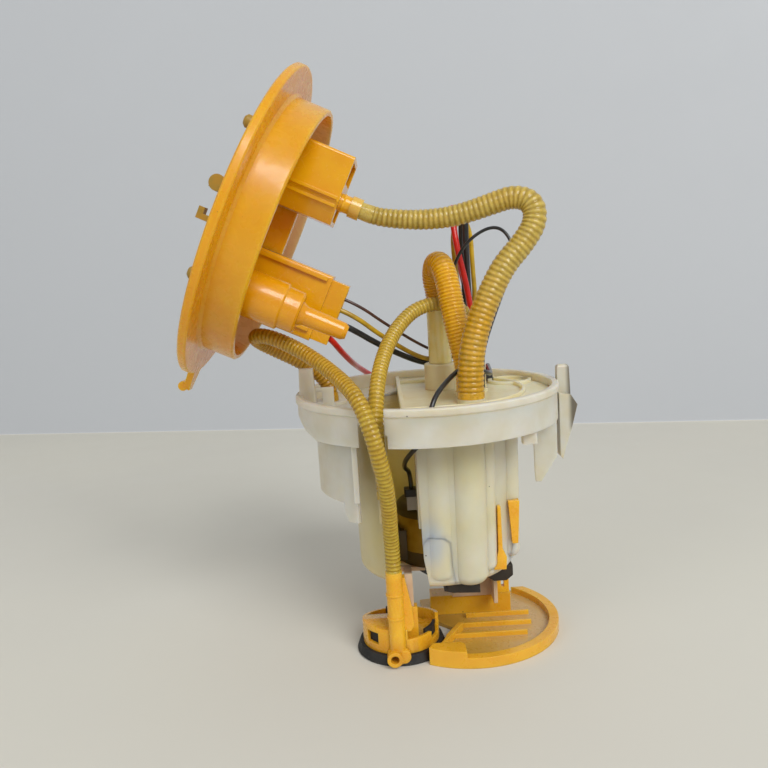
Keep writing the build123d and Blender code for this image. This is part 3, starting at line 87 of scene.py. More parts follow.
# ---- routes of the hoses and leads: (diameter, length, stiffness, points), in metres ----------
ROUTES = {
    "feed_hose": (0.0110, 0.1702, "stiff", [
        (-0.0257, -0.0120, 0.2041), (-0.0199, -0.0120, 0.2013), (-0.0105, -0.0133, 0.1994),
        (0.0015, -0.0148, 0.1982), (0.0130, -0.0164, 0.1985), (0.0235, -0.0184, 0.2006),
        (0.0326, -0.0206, 0.2032), (0.0416, -0.0230, 0.2056), (0.0492, -0.0260, 0.2024),
        (0.0498, -0.0276, 0.1936), (0.0434, -0.0288, 0.1846), (0.0348, -0.0300, 0.1760),
        (0.0284, -0.0310, 0.1646), (0.0228, -0.0318, 0.1526), (0.0194, -0.0323, 0.1410),
        (0.0180, -0.0320, 0.1300), (0.0180, -0.0320, 0.1190)]),
    "outlet_hose": (0.0115, 0.0938, "stiff", [
        (0.0087, 0.0140, 0.1560), (0.0087, 0.0140, 0.1634), (0.0070, 0.0125, 0.1720),
        (0.0078, 0.0070, 0.1792), (0.0106, -0.0004, 0.1782), (0.0124, -0.0052, 0.1698),
        (0.0136, -0.0078, 0.1600), (0.0152, -0.0098, 0.1498), (0.0172, -0.0114, 0.1396),
        (0.0193, -0.0120, 0.1290), (0.0193, -0.0120, 0.1190)]),
    "branch_hose": (0.0070, 0.1632, "medium", [
        (0.0255, 0.0070, 0.1310), (0.0255, 0.0070, 0.1396), (0.0246, 0.0064, 0.1480),
        (0.0204, 0.0046, 0.1554), (0.0132, 0.0030, 0.1594), (0.0046, 0.0014, 0.1600),
        (-0.0040, -0.0016, 0.1574), (-0.0114, -0.0088, 0.1514), (-0.0170, -0.0190, 0.1442),
        (-0.0208, -0.0304, 0.1364), (-0.0230, -0.0408, 0.1284), (-0.0242, -0.0476, 0.1196),
        (-0.0248, -0.0500, 0.1106), (-0.0246, -0.0486, 0.1024), (-0.0244, -0.0434, 0.0954),
        (-0.0232, -0.0378, 0.0904), (-0.0228, -0.0358, 0.0846), (-0.0228, -0.0358, 0.0770)]),
    "jet_hose": (0.0070, 0.2181, "medium", [
        (-0.0209, -0.0386, 0.0440), (-0.0209, -0.0386, 0.0540), (-0.0212, -0.0434, 0.0654),
        (-0.0212, -0.0506, 0.0780), (-0.0220, -0.0572, 0.0908), (-0.0242, -0.0618, 0.1032),
        (-0.0268, -0.0624, 0.1148), (-0.0304, -0.0582, 0.1246), (-0.0358, -0.0484, 0.1306),
        (-0.0426, -0.0372, 0.1354), (-0.0514, -0.0282, 0.1412), (-0.0610, -0.0218, 0.1464),
        (-0.0700, -0.0184, 0.1503), (-0.0768, -0.0144, 0.1512), (-0.0786, -0.0076, 0.1488),
        (-0.0756, -0.0012, 0.1454), (-0.0694, 0.0020, 0.1414), (-0.0614, 0.0034, 0.1368),
        (-0.0540, 0.0046, 0.1318), (-0.0486, 0.0056, 0.1260), (-0.0460, 0.0060, 0.1198),
        (-0.0460, 0.0060, 0.1155)]),
    "brown_lead": (0.0015, 0.0806, "limp", [
        (-0.0366, 0.0020, 0.1645), (-0.0294, 0.0020, 0.1610), (-0.0180, 0.0094, 0.1514),
        (0.0018, 0.0230, 0.1370), (0.0116, 0.0314, 0.1326), (0.0188, 0.0328, 0.1296),
        (0.0188, 0.0328, 0.1220)]),
    "yellow_lead": (0.0024, 0.2283, "medium", [
        (-0.0389, 0.0020, 0.1596), (-0.0317, 0.0020, 0.1561), (-0.0198, 0.0098, 0.1452),
        (0.0018, 0.0278, 0.1296), (0.0126, 0.0386, 0.1304), (0.0208, 0.0350, 0.1444),
        (0.0206, 0.0274, 0.1664), (0.0186, 0.0236, 0.1842), (0.0189, 0.0240, 0.1940),
        (0.0220, 0.0264, 0.2000), (0.0262, 0.0296, 0.1992), (0.0286, 0.0310, 0.1916),
        (0.0286, 0.0296, 0.1774), (0.0292, 0.0278, 0.1586), (0.0246, 0.0314, 0.1388),
        (0.0226, 0.0324, 0.1296), (0.0226, 0.0324, 0.1220)]),
    "black_lead": (0.0030, 0.2489, "medium", [
        (-0.0415, 0.0020, 0.1542), (-0.0352, 0.0020, 0.1512), (-0.0204, 0.0108, 0.1404),
        (-0.0004, 0.0284, 0.1286), (0.0106, 0.0416, 0.1264), (0.0224, 0.0406, 0.1406),
        (0.0248, 0.0338, 0.1616), (0.0242, 0.0340, 0.1826), (0.0242, 0.0350, 0.1960),
        (0.0248, 0.0314, 0.2050), (0.0252, 0.0250, 0.2076), (0.0250, 0.0200, 0.2016),
        (0.0246, 0.0196, 0.1900), (0.0250, 0.0222, 0.1720), (0.0258, 0.0244, 0.1526),
        (0.0266, 0.0294, 0.1336), (0.0266, 0.0294, 0.1220)]),
    "red_lead": (0.0030, 0.1516, "medium", [
        (-0.0451, 0.0020, 0.1468), (-0.0429, 0.0044, 0.1440), (-0.0402, 0.0100, 0.1392),
        (-0.0368, 0.0220, 0.1332), (-0.0350, 0.0350, 0.1294), (-0.0338, 0.0490, 0.1262),
        (-0.0286, 0.0636, 0.1202), (-0.0200, 0.0714, 0.1136), (-0.0026, 0.0710, 0.1054),
        (0.0114, 0.0586, 0.1004), (0.0194, 0.0446, 0.0976), (0.0220, 0.0390, 0.0970),
        (0.0280, 0.0390, 0.0970)]),
    "supply_loop": (0.0030, 0.1830, "medium", [
        (0.0306, 0.0296, 0.1220), (0.0306, 0.0296, 0.1316), (0.0264, 0.0190, 0.1486),
        (0.0238, 0.0176, 0.1670), (0.0198, 0.0186, 0.1864), (0.0184, 0.0224, 0.2036),
        (0.0202, 0.0330, 0.2074), (0.0212, 0.0402, 0.1946), (0.0238, 0.0404, 0.1736),
        (0.0284, 0.0396, 0.1516), (0.0308, 0.0334, 0.1344), (0.0308, 0.0334, 0.1220)]),
    "sender_lead": (0.0016, 0.1695, "limp", [
        (0.0188, 0.0292, 0.1220), (0.0188, 0.0292, 0.1316), (0.0170, 0.0246, 0.1504),
        (0.0148, 0.0176, 0.1700), (0.0230, 0.0116, 0.1886), (0.0396, 0.0076, 0.1966),
        (0.0470, 0.0020, 0.1810), (0.0358, -0.0026, 0.1576), (0.0286, -0.0026, 0.1386),
        (0.0275, -0.0020, 0.1290), (0.0275, -0.0020, 0.1185)]),
    "pump_lead": (0.0022, 0.1660, "medium", [
        (0.0342, 0.0306, 0.1220), (0.0342, 0.0306, 0.1262), (0.0329, 0.0150, 0.1252),
        (0.0312, -0.0040, 0.1252), (0.0270, -0.0176, 0.1282), (0.0168, -0.0222, 0.1324),
        (0.0082, -0.0332, 0.1284), (-0.0006, -0.0468, 0.1212), (-0.0024, -0.0474, 0.1066),
        (-0.0122, -0.0374, 0.0954), (-0.0134, -0.0224, 0.0870), (-0.0102, -0.0133, 0.0826),
        (-0.0102, -0.0133, 0.0745)]),
}


# ---- places that the finishes follow, in metres -------------------------------------------------
ORIGIN = (0, 0, 0)
ACROSS = (1, 0, 0)
BACKWARD = (0, 1, 0)
UPWARD = (0, 0, 1)
COMB_OUT = (0.0662, 0.0690)         # x over which the bracket's comb turns darker
COMB_HIGH = (0.0945, 0.0985)        # and its height
STAIN_AND_SHADE_START = (-0.014, -0.024)      # x over which khaki comes in on the pot: fuel stain and painted shade behind the hoses
COOL_AT = (-0.0035, 0, 0.0560)      # middle of the cool oval on the pot
COOL_NARROW = 1.8                   # how much narrower than high it is
COOL_EDGE = (0.004, 0.017)          # where the oval starts and stops fading
POT_FRONT = (-0.010, -0.002)        # y over which the pot's front ends
TRAY_AT = (0.015, -0.0035, 0)       # middle of the tray's round side
TRAY_RIM = (0.0388, 0.0396)         # radius over which its panel meets its rim
TRAY_FLOOR = (0.0019, 0.0024)       # height over which its floor meets its ribs
TRAY_FADE = (0.008, 0.050)          # x over which the panel gets paler
SPRING_TURNS = 4.0
SPRING_WIRE = 0.0003

# the flange's own directions, and where the painted back-light inside it lies along them
FLANGE_TILT = math.radians(64.2)
FLANGE_AT = Vector((-0.0802, 0.0, 0.2029))
FLANGE_OUT = Vector((-math.sin(FLANGE_TILT), 0, math.cos(FLANGE_TILT)))
FLANGE_UP = Vector((math.cos(FLANGE_TILT), 0, math.sin(FLANGE_TILT)))
FLANGE_SIDE = Vector((0, -1, 0))
SKIRT_WALL = (0.0586, 0.0592)       # radius over which the skirt's inner wall ends
WEB_FACE = (-0.0046, -0.0052)       # depth over which the disc's inner face ends
BACKLIT_SIDE = (-0.004, -0.022)       # where the painted back-light comes in across the flange


# ---- small helpers for node trees ---------------------------------------------------------------
class Bench:
    """Adds nodes to one tree and joins them. A value that is a socket is linked, any other is set."""

    def __init__(self, tree):
        self.tree = tree

    def add(self, kind, values=(), **settings):
        """A new node, with its input values and its own settings."""
        made = self.tree.nodes.new(kind)
        for name, value in settings.items():
            setattr(made, name, value)
        return self.fill(made, dict(values))

    def fill(self, node, values):
        """Gives a node its input values, by the inputs' names."""
        for name, value in values.items():
            self.put(node.inputs[name], value)
        return node

    def put(self, socket, value):
        if isinstance(value, bpy.types.NodeSocket):
            self.tree.links.new(value, socket)
        else:
            socket.default_value = value

    def calc(self, kind, *values, clamp=False):
        """One step of arithmetic, of the given kind."""
        made = self.add("ShaderNodeMath", operation=kind, use_clamp=clamp)
        for i, value in enumerate(values):
            self.put(made.inputs[i], value)
        return made.outputs[0]

    def plus(self, first, second, clamp=False):
        return self.calc("ADD", first, second, clamp=clamp)

    def minus(self, first, second):
        return self.calc("SUBTRACT", first, second)

    def times(self, first, second, clamp=False):
        return self.calc("MULTIPLY", first, second, clamp=clamp)

    def over(self, first, second):
        return self.calc("DIVIDE", first, second)

    def span(self, first, second):
        """Length of a step that goes first one way and second across it."""
        return self.calc("SQRT", self.plus(self.times(first, first), self.times(second, second)))

    def ramp(self, value, low, high, start=0.0, end=1.0):
        """Goes softly from start to end while the value goes from low to high."""
        sizes = {"Value": value, "From Min": low, "From Max": high, "To Min": start, "To Max": end}
        return self.add("ShaderNodeMapRange", sizes, interpolation_type="SMOOTHSTEP").outputs[0]

    def mix(self, factor, first, second):
        """The first colour where the factor is 0, the second where it is 1."""
        made = self.add("ShaderNodeMix", data_type="RGBA", clamp_factor=True)
        self.put(made.inputs[0], factor)
        self.put(made.inputs[6], first)
        self.put(made.inputs[7], second)
        return made.outputs[2]

    def group(self, tree, **values):
        """A shared effect, with the values given for its inputs."""
        made = self.add("ShaderNodeGroup", node_tree=tree)
        for name, value in values.items():
            self.put(made.inputs[name.replace("_", " ").capitalize()], value)
        return made.outputs

    def place(self):
        """The shaded spot, in the object's own metres."""
        return self.add("ShaderNodeTexCoord").outputs["Object"]

    def measure(self, origin, direction):
        """How far the shaded spot lies from origin along a direction, in metres."""
        apart = self.add("ShaderNodeVectorMath", {0: self.place(), 1: tuple(origin)}, operation="SUBTRACT")
        ends = {0: apart.outputs[0], 1: tuple(direction)}
        return self.add("ShaderNodeVectorMath", ends, operation="DOT_PRODUCT").outputs["Value"]

    def reach(self, origin, first, second):
        """Distance of the shaded spot from an axis through origin, across two directions."""
        return self.span(self.measure(origin, first), self.measure(origin, second))


def effect(name, inputs, outputs):
    """An empty shader node group with named sockets, and the bench to fill it with."""
    tree = bpy.data.node_groups.new(name, "ShaderNodeTree")
    face = tree.interface
    for text, value in inputs.items():
        face.new_socket(name=text, in_out="INPUT", socket_type="NodeSocketFloat").default_value = value
    for text in outputs:
        face.new_socket(name=text, in_out="OUTPUT", socket_type="NodeSocketFloat")
    bench = Bench(tree)
    return bench, bench.add("NodeGroupInput").outputs, bench.add("NodeGroupOutput").inputs


# ---- effects that several finishes share --------------------------------------------------------
def make_mottle():
    """Soft clouds of thicker and thinner colour, as a translucent moulding shows."""
    b, i, o = effect("Resin mottle", {"Size": 0.02, "Contrast": 1.0}, ["Cloud", "Fine"])
    place = b.place()
    scale = b.over(1.0, i["Size"])
    broad = b.add("ShaderNodeTexNoise", {"Vector": place, "Scale": scale, "Detail": 2.0, "Roughness": 0.5})
    fine = b.add("ShaderNodeTexNoise", {"Vector": place, "Scale": b.times(scale, 6.0), "Detail": 3.0})
    spread = b.times(b.minus(broad.outputs[0], 0.5), i["Contrast"])
    b.put(o["Cloud"], b.ramp(spread, -0.22, 0.22))
    b.put(o["Fine"], b.ramp(fine.outputs[0], 0.3, 0.7))
    return b.tree


def make_grain():
    """Height of a moulded skin: faint orange peel with fine tool marks over it."""
    b, i, o = effect("Moulding grain", {"Peel": 0.004, "Marks": 0.0007}, ["Height"])
    place = b.place()
    peel = b.add("ShaderNodeTexNoise", {"Vector": place, "Scale": b.over(1.0, i["Peel"]), "Detail": 1.0})
    marks = b.add("ShaderNodeTexNoise", {"Vector": place, "Scale": b.over(1.0, i["Marks"]), "Detail": 2.0})
    b.put(o["Height"], b.plus(b.times(peel.outputs[0], 0.75), b.times(marks.outputs[0], 0.25)))
    return b.tree


def make_stain():
    """Darker band towards the bottom: stronger below a level, with an uneven upper edge and faint upright
    streaks.
    """
    b, i, o = effect("Fuel stain", {"Level": 0.05, "Fade": 0.02, "Wander": 0.02, "Runs": 0.5}, ["Mask"])
    place = b.place()
    split = b.add("ShaderNodeSeparateXYZ", {"Vector": place})
    drift = b.add("ShaderNodeTexNoise", {"Vector": place, "Scale": 38.0, "Detail": 3.0})
    squeezed = b.add("ShaderNodeMapping", {"Vector": place, "Scale": (1.0, 1.0, 0.06)})
    runs = b.add("ShaderNodeTexNoise", {"Vector": squeezed.outputs[0], "Scale": 260.0, "Detail": 1.0})
    height = b.plus(split.outputs[2], b.times(b.minus(drift.outputs[0], 0.5), i["Wander"]))
    low = b.minus(i["Level"], i["Fade"])
    mask = b.ramp(height, low, b.plus(i["Level"], i["Fade"]), 1.0, 0.0)
    streak = b.minus(1.0, b.times(b.ramp(runs.outputs[0], 0.42, 0.62), i["Runs"]))
    b.put(o["Mask"], b.times(mask, streak, clamp=True))
    return b.tree


def make_specks():
    """Sparse round specks of dirt."""
    b, i, o = effect("Dirt specks", {"Spacing": 0.006, "Radius": 0.06, "Share": 0.25}, ["Mask"])
    cells = b.add("ShaderNodeTexVoronoi", {"Vector": b.place(), "Scale": b.over(1.0, i["Spacing"])})
    pick = b.add("ShaderNodeSeparateColor", {"Color": cells.outputs["Color"]})
    chosen = b.calc("LESS_THAN", pick.outputs[0], i["Share"])
    size = b.times(i["Radius"], b.plus(0.5, pick.outputs[1]))
    dot = b.ramp(cells.outputs["Distance"], b.times(size, 0.7), size, 1.0, 0.0)
    b.put(o["Mask"], b.times(chosen, dot))
    return b.tree


def make_scuffs():
    """Thin handling scratches, broken up by a coarser cloud."""
    b, i, o = effect("Handling scuffs", {"Size": 0.03, "Width": 0.012, "Cover": 0.5}, ["Mask"])
    place = b.place()
    bent = b.add("ShaderNodeMapping", {"Vector": place, "Rotation": (0.4, 0.9, 0.2),
                                       "Scale": (1.0, 0.25, 1.6)})
    veins = b.add("ShaderNodeTexNoise", {"Vector": bent.outputs[0], "Scale": b.over(1.0, i["Size"]),
                                         "Detail": 3.0, "Distortion": 0.6})
    away = b.calc("ABSOLUTE", b.minus(veins.outputs[0], 0.5))
    line = b.ramp(away, 0.0, i["Width"], 1.0, 0.0)
    patch = b.add("ShaderNodeTexNoise", {"Vector": place, "Scale": 55.0})
    cover = b.minus(1.0, i["Cover"])
    b.put(o["Mask"], b.times(line, b.ramp(patch.outputs[0], cover, b.plus(cover, 0.12)), clamp=True))
    return b.tree


EFFECTS = {}


def effects():
    """The shared groups, built once."""
    if not EFFECTS:
        EFFECTS.update(mottle=make_mottle(), grain=make_grain(), stain=make_stain(), specks=make_specks(),
                       scuffs=make_scuffs())
    return EFFECTS


# ---- finishes -----------------------------------------------------------------------------------
def blank(name):
    """A new material, its bench and its shader."""
    made = bpy.data.materials.new(name)
    made.use_nodes = True
    return made, Bench(made.node_tree), made.node_tree.nodes["Principled BSDF"]


def put_bump(b, shader, height, strength, distance=0.0003, round_by=0.0):
    """Joins a height to the shader, over edges rounded by round_by metres."""
    bump = b.add("ShaderNodeBump", {"Height": height, "Strength": strength, "Distance": distance})
    if round_by:
        soft = b.add("ShaderNodeBevel", {"Radius": round_by}, samples=6)
        b.put(bump.inputs["Normal"], soft.outputs[0])
    b.put(shader.inputs["Normal"], bump.outputs[0])


RESIN_BEND = 1.48                   # refractive index of the resins
RESIN_SCATTER = (1.0, 0.75, 0.45)   # how far red, green and blue light spread in a resin
NYLON_SCATTER = (1.0, 0.7, 0.25)    # and in the hoses' nylon
EDGE_ROUND = 0.0004                 # radius that softens a moulded edge, in metres
FINE_SHARE = 0.18                   # how much of the deep colour the fine clouds bring
SPECK_SHARE = 0.7                   # how dark a speck of dirt is
VEIL_SHARE = 0.5                    # how much a pale veil covers
SCUFF_DULL = 0.25                   # roughness that a scuff adds
SKIN_BUMP = 0.12                    # strength of a moulded skin's grain


def plastic(name, base, deep, rough=0.32, glow=0.25, glow_reach=0.004, cloud=0.02, stain=None,
            dirt=(60, 45, 25), dirt_share=0.12, coat=0.0, patch=None, veil=None):
    """Moulded polymer: clouds between two colours, optional darker low band, veil, specks, scuffs, skin
    grain.

    The darker low band is given as (colour, level, fade, strength). patch adds a part's own tint changes,
    some of them painted light and shade, to the tint.
    """
    fx = effects()
    made, b, shader = blank(name)
    mottle = b.group(fx["mottle"], size=cloud)
    tint = b.mix(mottle["Cloud"], base, deep)
    tint = b.mix(b.times(mottle["Fine"], FINE_SHARE), tint, deep)
    if stain:
        stain_colour, level, fade, strength = stain
        mask = b.group(fx["stain"], level=level, fade=fade)["Mask"]
        # darker band towards the bottom, by the low band mask
        tint = b.mix(b.times(mask, strength), tint, rgb(*stain_colour))
    if veil:
        haze = b.group(fx["mottle"], size=0.045, contrast=1.4)["Cloud"]
        tint = b.mix(b.times(haze, VEIL_SHARE), tint, rgb(*veil))
    if patch:
        tint = patch(b, tint)
    specks = b.group(fx["specks"], share=dirt_share)["Mask"]
    tint = b.mix(b.times(specks, SPECK_SHARE), tint, rgb(*dirt))
    scuffs = b.group(fx["scuffs"])["Mask"]
    dull = b.plus(b.times(scuffs, SCUFF_DULL), b.times(mottle["Fine"], 0.08))
    b.fill(shader, {"Base Color": tint, "Roughness": b.plus(rough, dull), "IOR": RESIN_BEND,
                    "Subsurface Weight": glow, "Subsurface Radius": RESIN_SCATTER,
                    "Subsurface Scale": glow_reach, "Coat Weight": coat, "Coat Roughness": 0.08})
    height = b.minus(b.group(fx["grain"])["Height"], b.times(scuffs, 0.3))
    put_bump(b, shader, height, SKIN_BUMP, round_by=EDGE_ROUND)
    return made


def rubber(name, base, worn, rough=0.6):
    """Black rubber with paler worn patches and a dusty skin."""
    fx = effects()
    made, b, shader = blank(name)
    mottle = b.group(fx["mottle"], size=0.008)
    dust = b.group(fx["specks"], spacing=0.0016, radius=0.2, share=0.3)["Mask"]
    tint = b.mix(mottle["Cloud"], base, worn)
    b.fill(shader, {"Base Color": b.mix(b.times(dust, 0.35), tint, rgb(120, 112, 96)),
                    "Roughness": b.plus(rough, b.times(mottle["Fine"], 0.15))})
    put_bump(b, shader, b.group(fx["grain"], peel=0.0015, marks=0.0004)["Height"], 0.3, round_by=0.0003)
    return made


BRUSHED = (1.0, 1.0, 30.0)          # stretch that turns noise into level turning lines


def metal(name, base, deep, rough=0.3):
    """Drawn or turned metal: fine level lines under a thin cloudy tint."""
    fx = effects()
    made, b, shader = blank(name)
    mottle = b.group(fx["mottle"], size=0.012)
    lines = b.add("ShaderNodeMapping", {"Vector": b.place(), "Scale": BRUSHED})
    brush = b.add("ShaderNodeTexNoise", {"Vector": lines.outputs[0], "Scale": 180.0, "Detail": 3.0})
    scuffs = b.group(fx["scuffs"], size=0.012)["Mask"]
    tint = b.mix(mottle["Cloud"], base, deep)
    b.fill(shader, {"Base Color": b.mix(b.times(scuffs, 0.4), tint, rgb(225, 220, 205)), "Metallic": 1.0,
                    "Roughness": b.plus(rough, b.times(brush.outputs[0], 0.18))})
    put_bump(b, shader, brush.outputs[0], 0.06, 0.0001)
    return made


def hose_nylon(name, pale, deep, groove, turns=(0.0, 1.0)):
    """Translucent corrugated nylon: painted highlight glints on its crests, painted shade in its grooves,
    dark flecks all over.

    turns gives the shares of the hose's length where pale starts to turn and is all deep.
    """
    fx = effects()
    made, b, shader = blank(name)
    crest = b.add("ShaderNodeAttribute", attribute_name="crest").outputs["Fac"]
    along = b.ramp(b.add("ShaderNodeAttribute", attribute_name="along").outputs["Fac"], *turns)
    mottle = b.group(fx["mottle"], size=0.014)
    flecks = b.group(fx["mottle"], size=0.0028, contrast=1.3)
    drift = b.plus(along, b.times(b.minus(mottle["Cloud"], 0.5), 0.4), clamp=True)
    tint = b.mix(drift, pale, deep)
    tint = b.mix(b.times(flecks["Cloud"], 0.38), tint, groove)
    # painted shade: the grooves are darkened toward the groove colour
    low = b.times(b.minus(1.0, crest), b.plus(0.35, b.times(flecks["Fine"], 0.4)))
    tint = b.mix(low, tint, groove)
    # painted highlight: pale gold glints (236, 214, 120) on the crests
    top = b.times(b.calc("POWER", crest, 6.0), b.times(flecks["Fine"], 0.35))
    b.fill(shader, {"Base Color": b.mix(top, tint, rgb(236, 214, 120)),
                    "Roughness": b.plus(0.2, b.times(mottle["Fine"], 0.15)), "Subsurface Weight": 0.4,
                    "Subsurface Radius": NYLON_SCATTER, "Subsurface Scale": 0.002,
                    "Specular IOR Level": 0.35, "Coat Weight": 0.2, "Coat Roughness": 0.1})
    put_bump(b, shader, b.group(fx["grain"], peel=0.0010, marks=0.0003)["Height"], 0.45)
    return made


def insulation(name, base, deep):
    """Smooth lead insulation, cloudy and lightly scuffed."""
    fx = effects()
    made, b, shader = blank(name)
    mottle = b.group(fx["mottle"], size=0.006)
    scuffs = b.group(fx["scuffs"], size=0.008, cover=0.4)["Mask"]
    tint = b.mix(mottle["Cloud"], base, deep)
    b.fill(shader, {"Base Color": b.mix(b.times(scuffs, 0.25), tint, rgb(150, 145, 135)),
                    "Roughness": b.plus(0.3, b.times(scuffs, 0.25)), "Coat Weight": 0.25,
                    "Coat Roughness": 0.2})
    put_bump(b, shader, b.group(fx["grain"], peel=0.003, marks=0.0006)["Height"], 0.1)
    return made


def dress(material, *names):
    """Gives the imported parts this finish."""
    for name in names:
        part = NODES[name]
        if not part.material_slots:
            part.data.materials.append(material)
        for spot in part.material_slots:
            spot.material = material


# ---- sizes and colours that a user would change -------------------------------------------------
class StageSettings(bpy.types.PropertyGroup):
    lens: FloatProperty(name="Lens", description="Focal length on a 36 mm wide sensor", default=36.05,
                        min=10, max=200)
    floor: colour("Floor", (214, 211, 199), "Table top")
    wall: colour("Wall", (192, 195, 199), "Backdrop")
    key: FloatProperty(name="Key light", description="Power of the large soft lamp, in watts",
                       default=57.0, min=0)
    fill: FloatProperty(name="Room light", description="Strength of the even light from all round",
                        default=0.42, min=0, max=2)


class HoseSettings(bpy.types.PropertyGroup):
    wide_pitch: length("Feed hose pitch", 0.0023, "Ridge to ridge on the feed hose", 0.001)
    thin_pitch: length("Thin hose pitch", 0.00195, "Ridge to ridge on the two thin hoses", 0.001)
    loop_pitch: length("Outlet hose pitch", 0.0016, "Ridge to ridge on the outlet hose", 0.001)
    groove: length("Groove depth", 0.00036, "How far the grooves lie under the ridges")
    sides: IntProperty(name="Sides", description="Faces round a hose", default=28, min=8, max=64)
    pale: colour("Pale nylon", (196, 170, 82), "Fresh end of the feed hose")
    amber: colour("Amber nylon", (212, 156, 6), "Fuel-stained nylon")


class LeadSettings(bpy.types.PropertyGroup):
    red: colour("Red", (222, 30, 16), "Red insulation")
    yellow: colour("Yellow", (206, 168, 30), "Yellow insulation")
    black: colour("Black", (26, 27, 29), "Black insulation")
    brown: colour("Brown", (92, 58, 46), "Brown insulation")


class FlangeSettings(bpy.types.PropertyGroup):
    resin: colour("Flange resin", (226, 168, 14), "Thin, light-filled parts of the flange")
    deep: colour("Deep resin", (218, 152, 8), "Thicker parts of the flange")
    housing: colour("Housing", (238, 176, 4), "Port block and connector")
    pegs: colour("Pegs", (150, 124, 44), "Aged pegs on the outer face")


class ReservoirSettings(bpy.types.PropertyGroup):
    resin: colour("Milky resin", (207, 203, 191), "Collar")
    deep: colour("Shaded resin", (198, 190, 168), "Where the resin is thicker or stained")


class PumpSettings(bpy.types.PropertyGroup):
    can: colour("Can", (168, 146, 76), "Olive passivated can")
    cap: colour("Cap", (84, 68, 26), "Polymer caps of the pump")


class FootSettings(bpy.types.PropertyGroup):
    resin: colour("Foot resin", (240, 184, 46), "Jet cup, riser and tray rim")
    panel: colour("Tray panel", (186, 146, 60), "Thin middle of the tray")


class SenderSettings(bpy.types.PropertyGroup):
    float_foam: colour("Float", (34, 33, 34), "Closed-cell float")


class ModuleSettings(bpy.types.PropertyGroup):
    stage: PointerProperty(type=StageSettings)
    hoses: PointerProperty(type=HoseSettings)
    leads: PointerProperty(type=LeadSettings)
    flange: PointerProperty(type=FlangeSettings)
    reservoir: PointerProperty(type=ReservoirSettings)
    pump: PointerProperty(type=PumpSettings)
    foot: PointerProperty(type=FootSettings)
    sender: PointerProperty(type=SenderSettings)


def settings():
    """The module's settings in this scene."""
    return bpy.context.scene.pump_module


# ---- mesh helpers -------------------------------------------------------------------------------
def piece(name, mesh, material):
    """A finished mesh as an object of its own that rides on the module."""
    mesh.materials.clear()
    mesh.materials.append(material)
    mesh.shade_smooth()
    made = bpy.data.objects.new(name, mesh)
    bpy.context.scene.collection.objects.link(made)
    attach(made, ROOT)
    return made


# ---- hoses and leads ----------------------------------------------------------------------------
def lay_curve(name, points, radius=0.0):
    """One open NURBS spline whose control points are the route."""
    data = bpy.data.curves.new(name, "CURVE")
    data.dimensions = "3D"
    spline = data.splines.new("NURBS")
    spline.points.add(len(points) - 1)
    for point, place in zip(spline.points, points):
        point.co = (*place, 1.0)
    spline.order_u = 3
    spline.use_endpoint_u = True
    spline.resolution_u = 12
    data.bevel_depth = radius
    data.bevel_resolution = 5
    data.use_fill_caps = True
    made = bpy.data.objects.new(name, data)
    bpy.context.scene.collection.objects.link(made)
    return made


def corrugation_tree(material):
    """Nodes that turn a curve into a ridged tube and keep its crests and its length as attributes."""
    tree = bpy.data.node_groups.new("Corrugated hose", "GeometryNodeTree")
    face = tree.interface
    face.new_socket(name="Route", in_out="INPUT", socket_type="NodeSocketGeometry")
    sizes = (("Start radius", 0.004), ("End radius", 0.004), ("Pitch", 0.002), ("Groove depth", 0.0005),
             ("Plain start", 0.002), ("Plain end", 0.002))
    for text, value in sizes:
        face.new_socket(name=text, in_out="INPUT", socket_type="NodeSocketFloat").default_value = value
    face.new_socket(name="Sides", in_out="INPUT", socket_type="NodeSocketInt").default_value = 28
    face.new_socket(name="Hose", in_out="OUTPUT", socket_type="NodeSocketGeometry")
    b = Bench(tree)
    i = b.add("NodeGroupInput").outputs
    fine = b.add("GeometryNodeResampleCurve", mode="LENGTH")
    b.put(fine.inputs["Curve"], i["Route"])
    b.put(fine.inputs["Length"], b.over(i["Pitch"], 8.0))
    spot = b.add("GeometryNodeSplineParameter").outputs
    total = b.add("GeometryNodeSplineLength").outputs["Length"]
    turn = b.times(b.over(spot["Length"], i["Pitch"]), 2 * math.pi)
    wave = b.plus(0.5, b.times(b.calc("COSINE", turn), 0.5))
    crest = b.calc("POWER", wave, 0.62)
    left = b.minus(total, spot["Length"])
    ridged = b.times(b.calc("GREATER_THAN", spot["Length"], i["Plain start"]),
                   b.calc("GREATER_THAN", left, i["Plain end"]))
    drop = b.times(b.minus(1.0, crest), ridged)
    swell = b.plus(i["Start radius"], b.times(b.minus(i["End radius"], i["Start radius"]),
                                                  b.calc("POWER", spot["Factor"], 0.6)))
    radius = b.minus(swell, b.times(drop, i["Groove depth"]))
    shown = fine.outputs[0]
    for text, value in (("crest", b.minus(1.0, drop)), ("along", spot["Factor"])):
        keep = b.add("GeometryNodeStoreNamedAttribute", {"Geometry": shown, "Name": text, "Value": value})
        shown = keep.outputs[0]
    ring = b.add("GeometryNodeCurvePrimitiveCircle", {"Resolution": i["Sides"], "Radius": 1.0})
    skin = b.add("GeometryNodeCurveToMesh", {"Curve": shown, "Profile Curve": ring.outputs[0],
                                             "Scale": radius, "Fill Caps": True})
    real = b.add("GeometryNodeRealizeInstances", {"Geometry": skin.outputs[0]})
    done = b.add("GeometryNodeSetMaterial", {"Geometry": real.outputs[0], "Material": material})
    b.put(b.add("NodeGroupOutput").inputs["Hose"], done.outputs[0])
    return tree


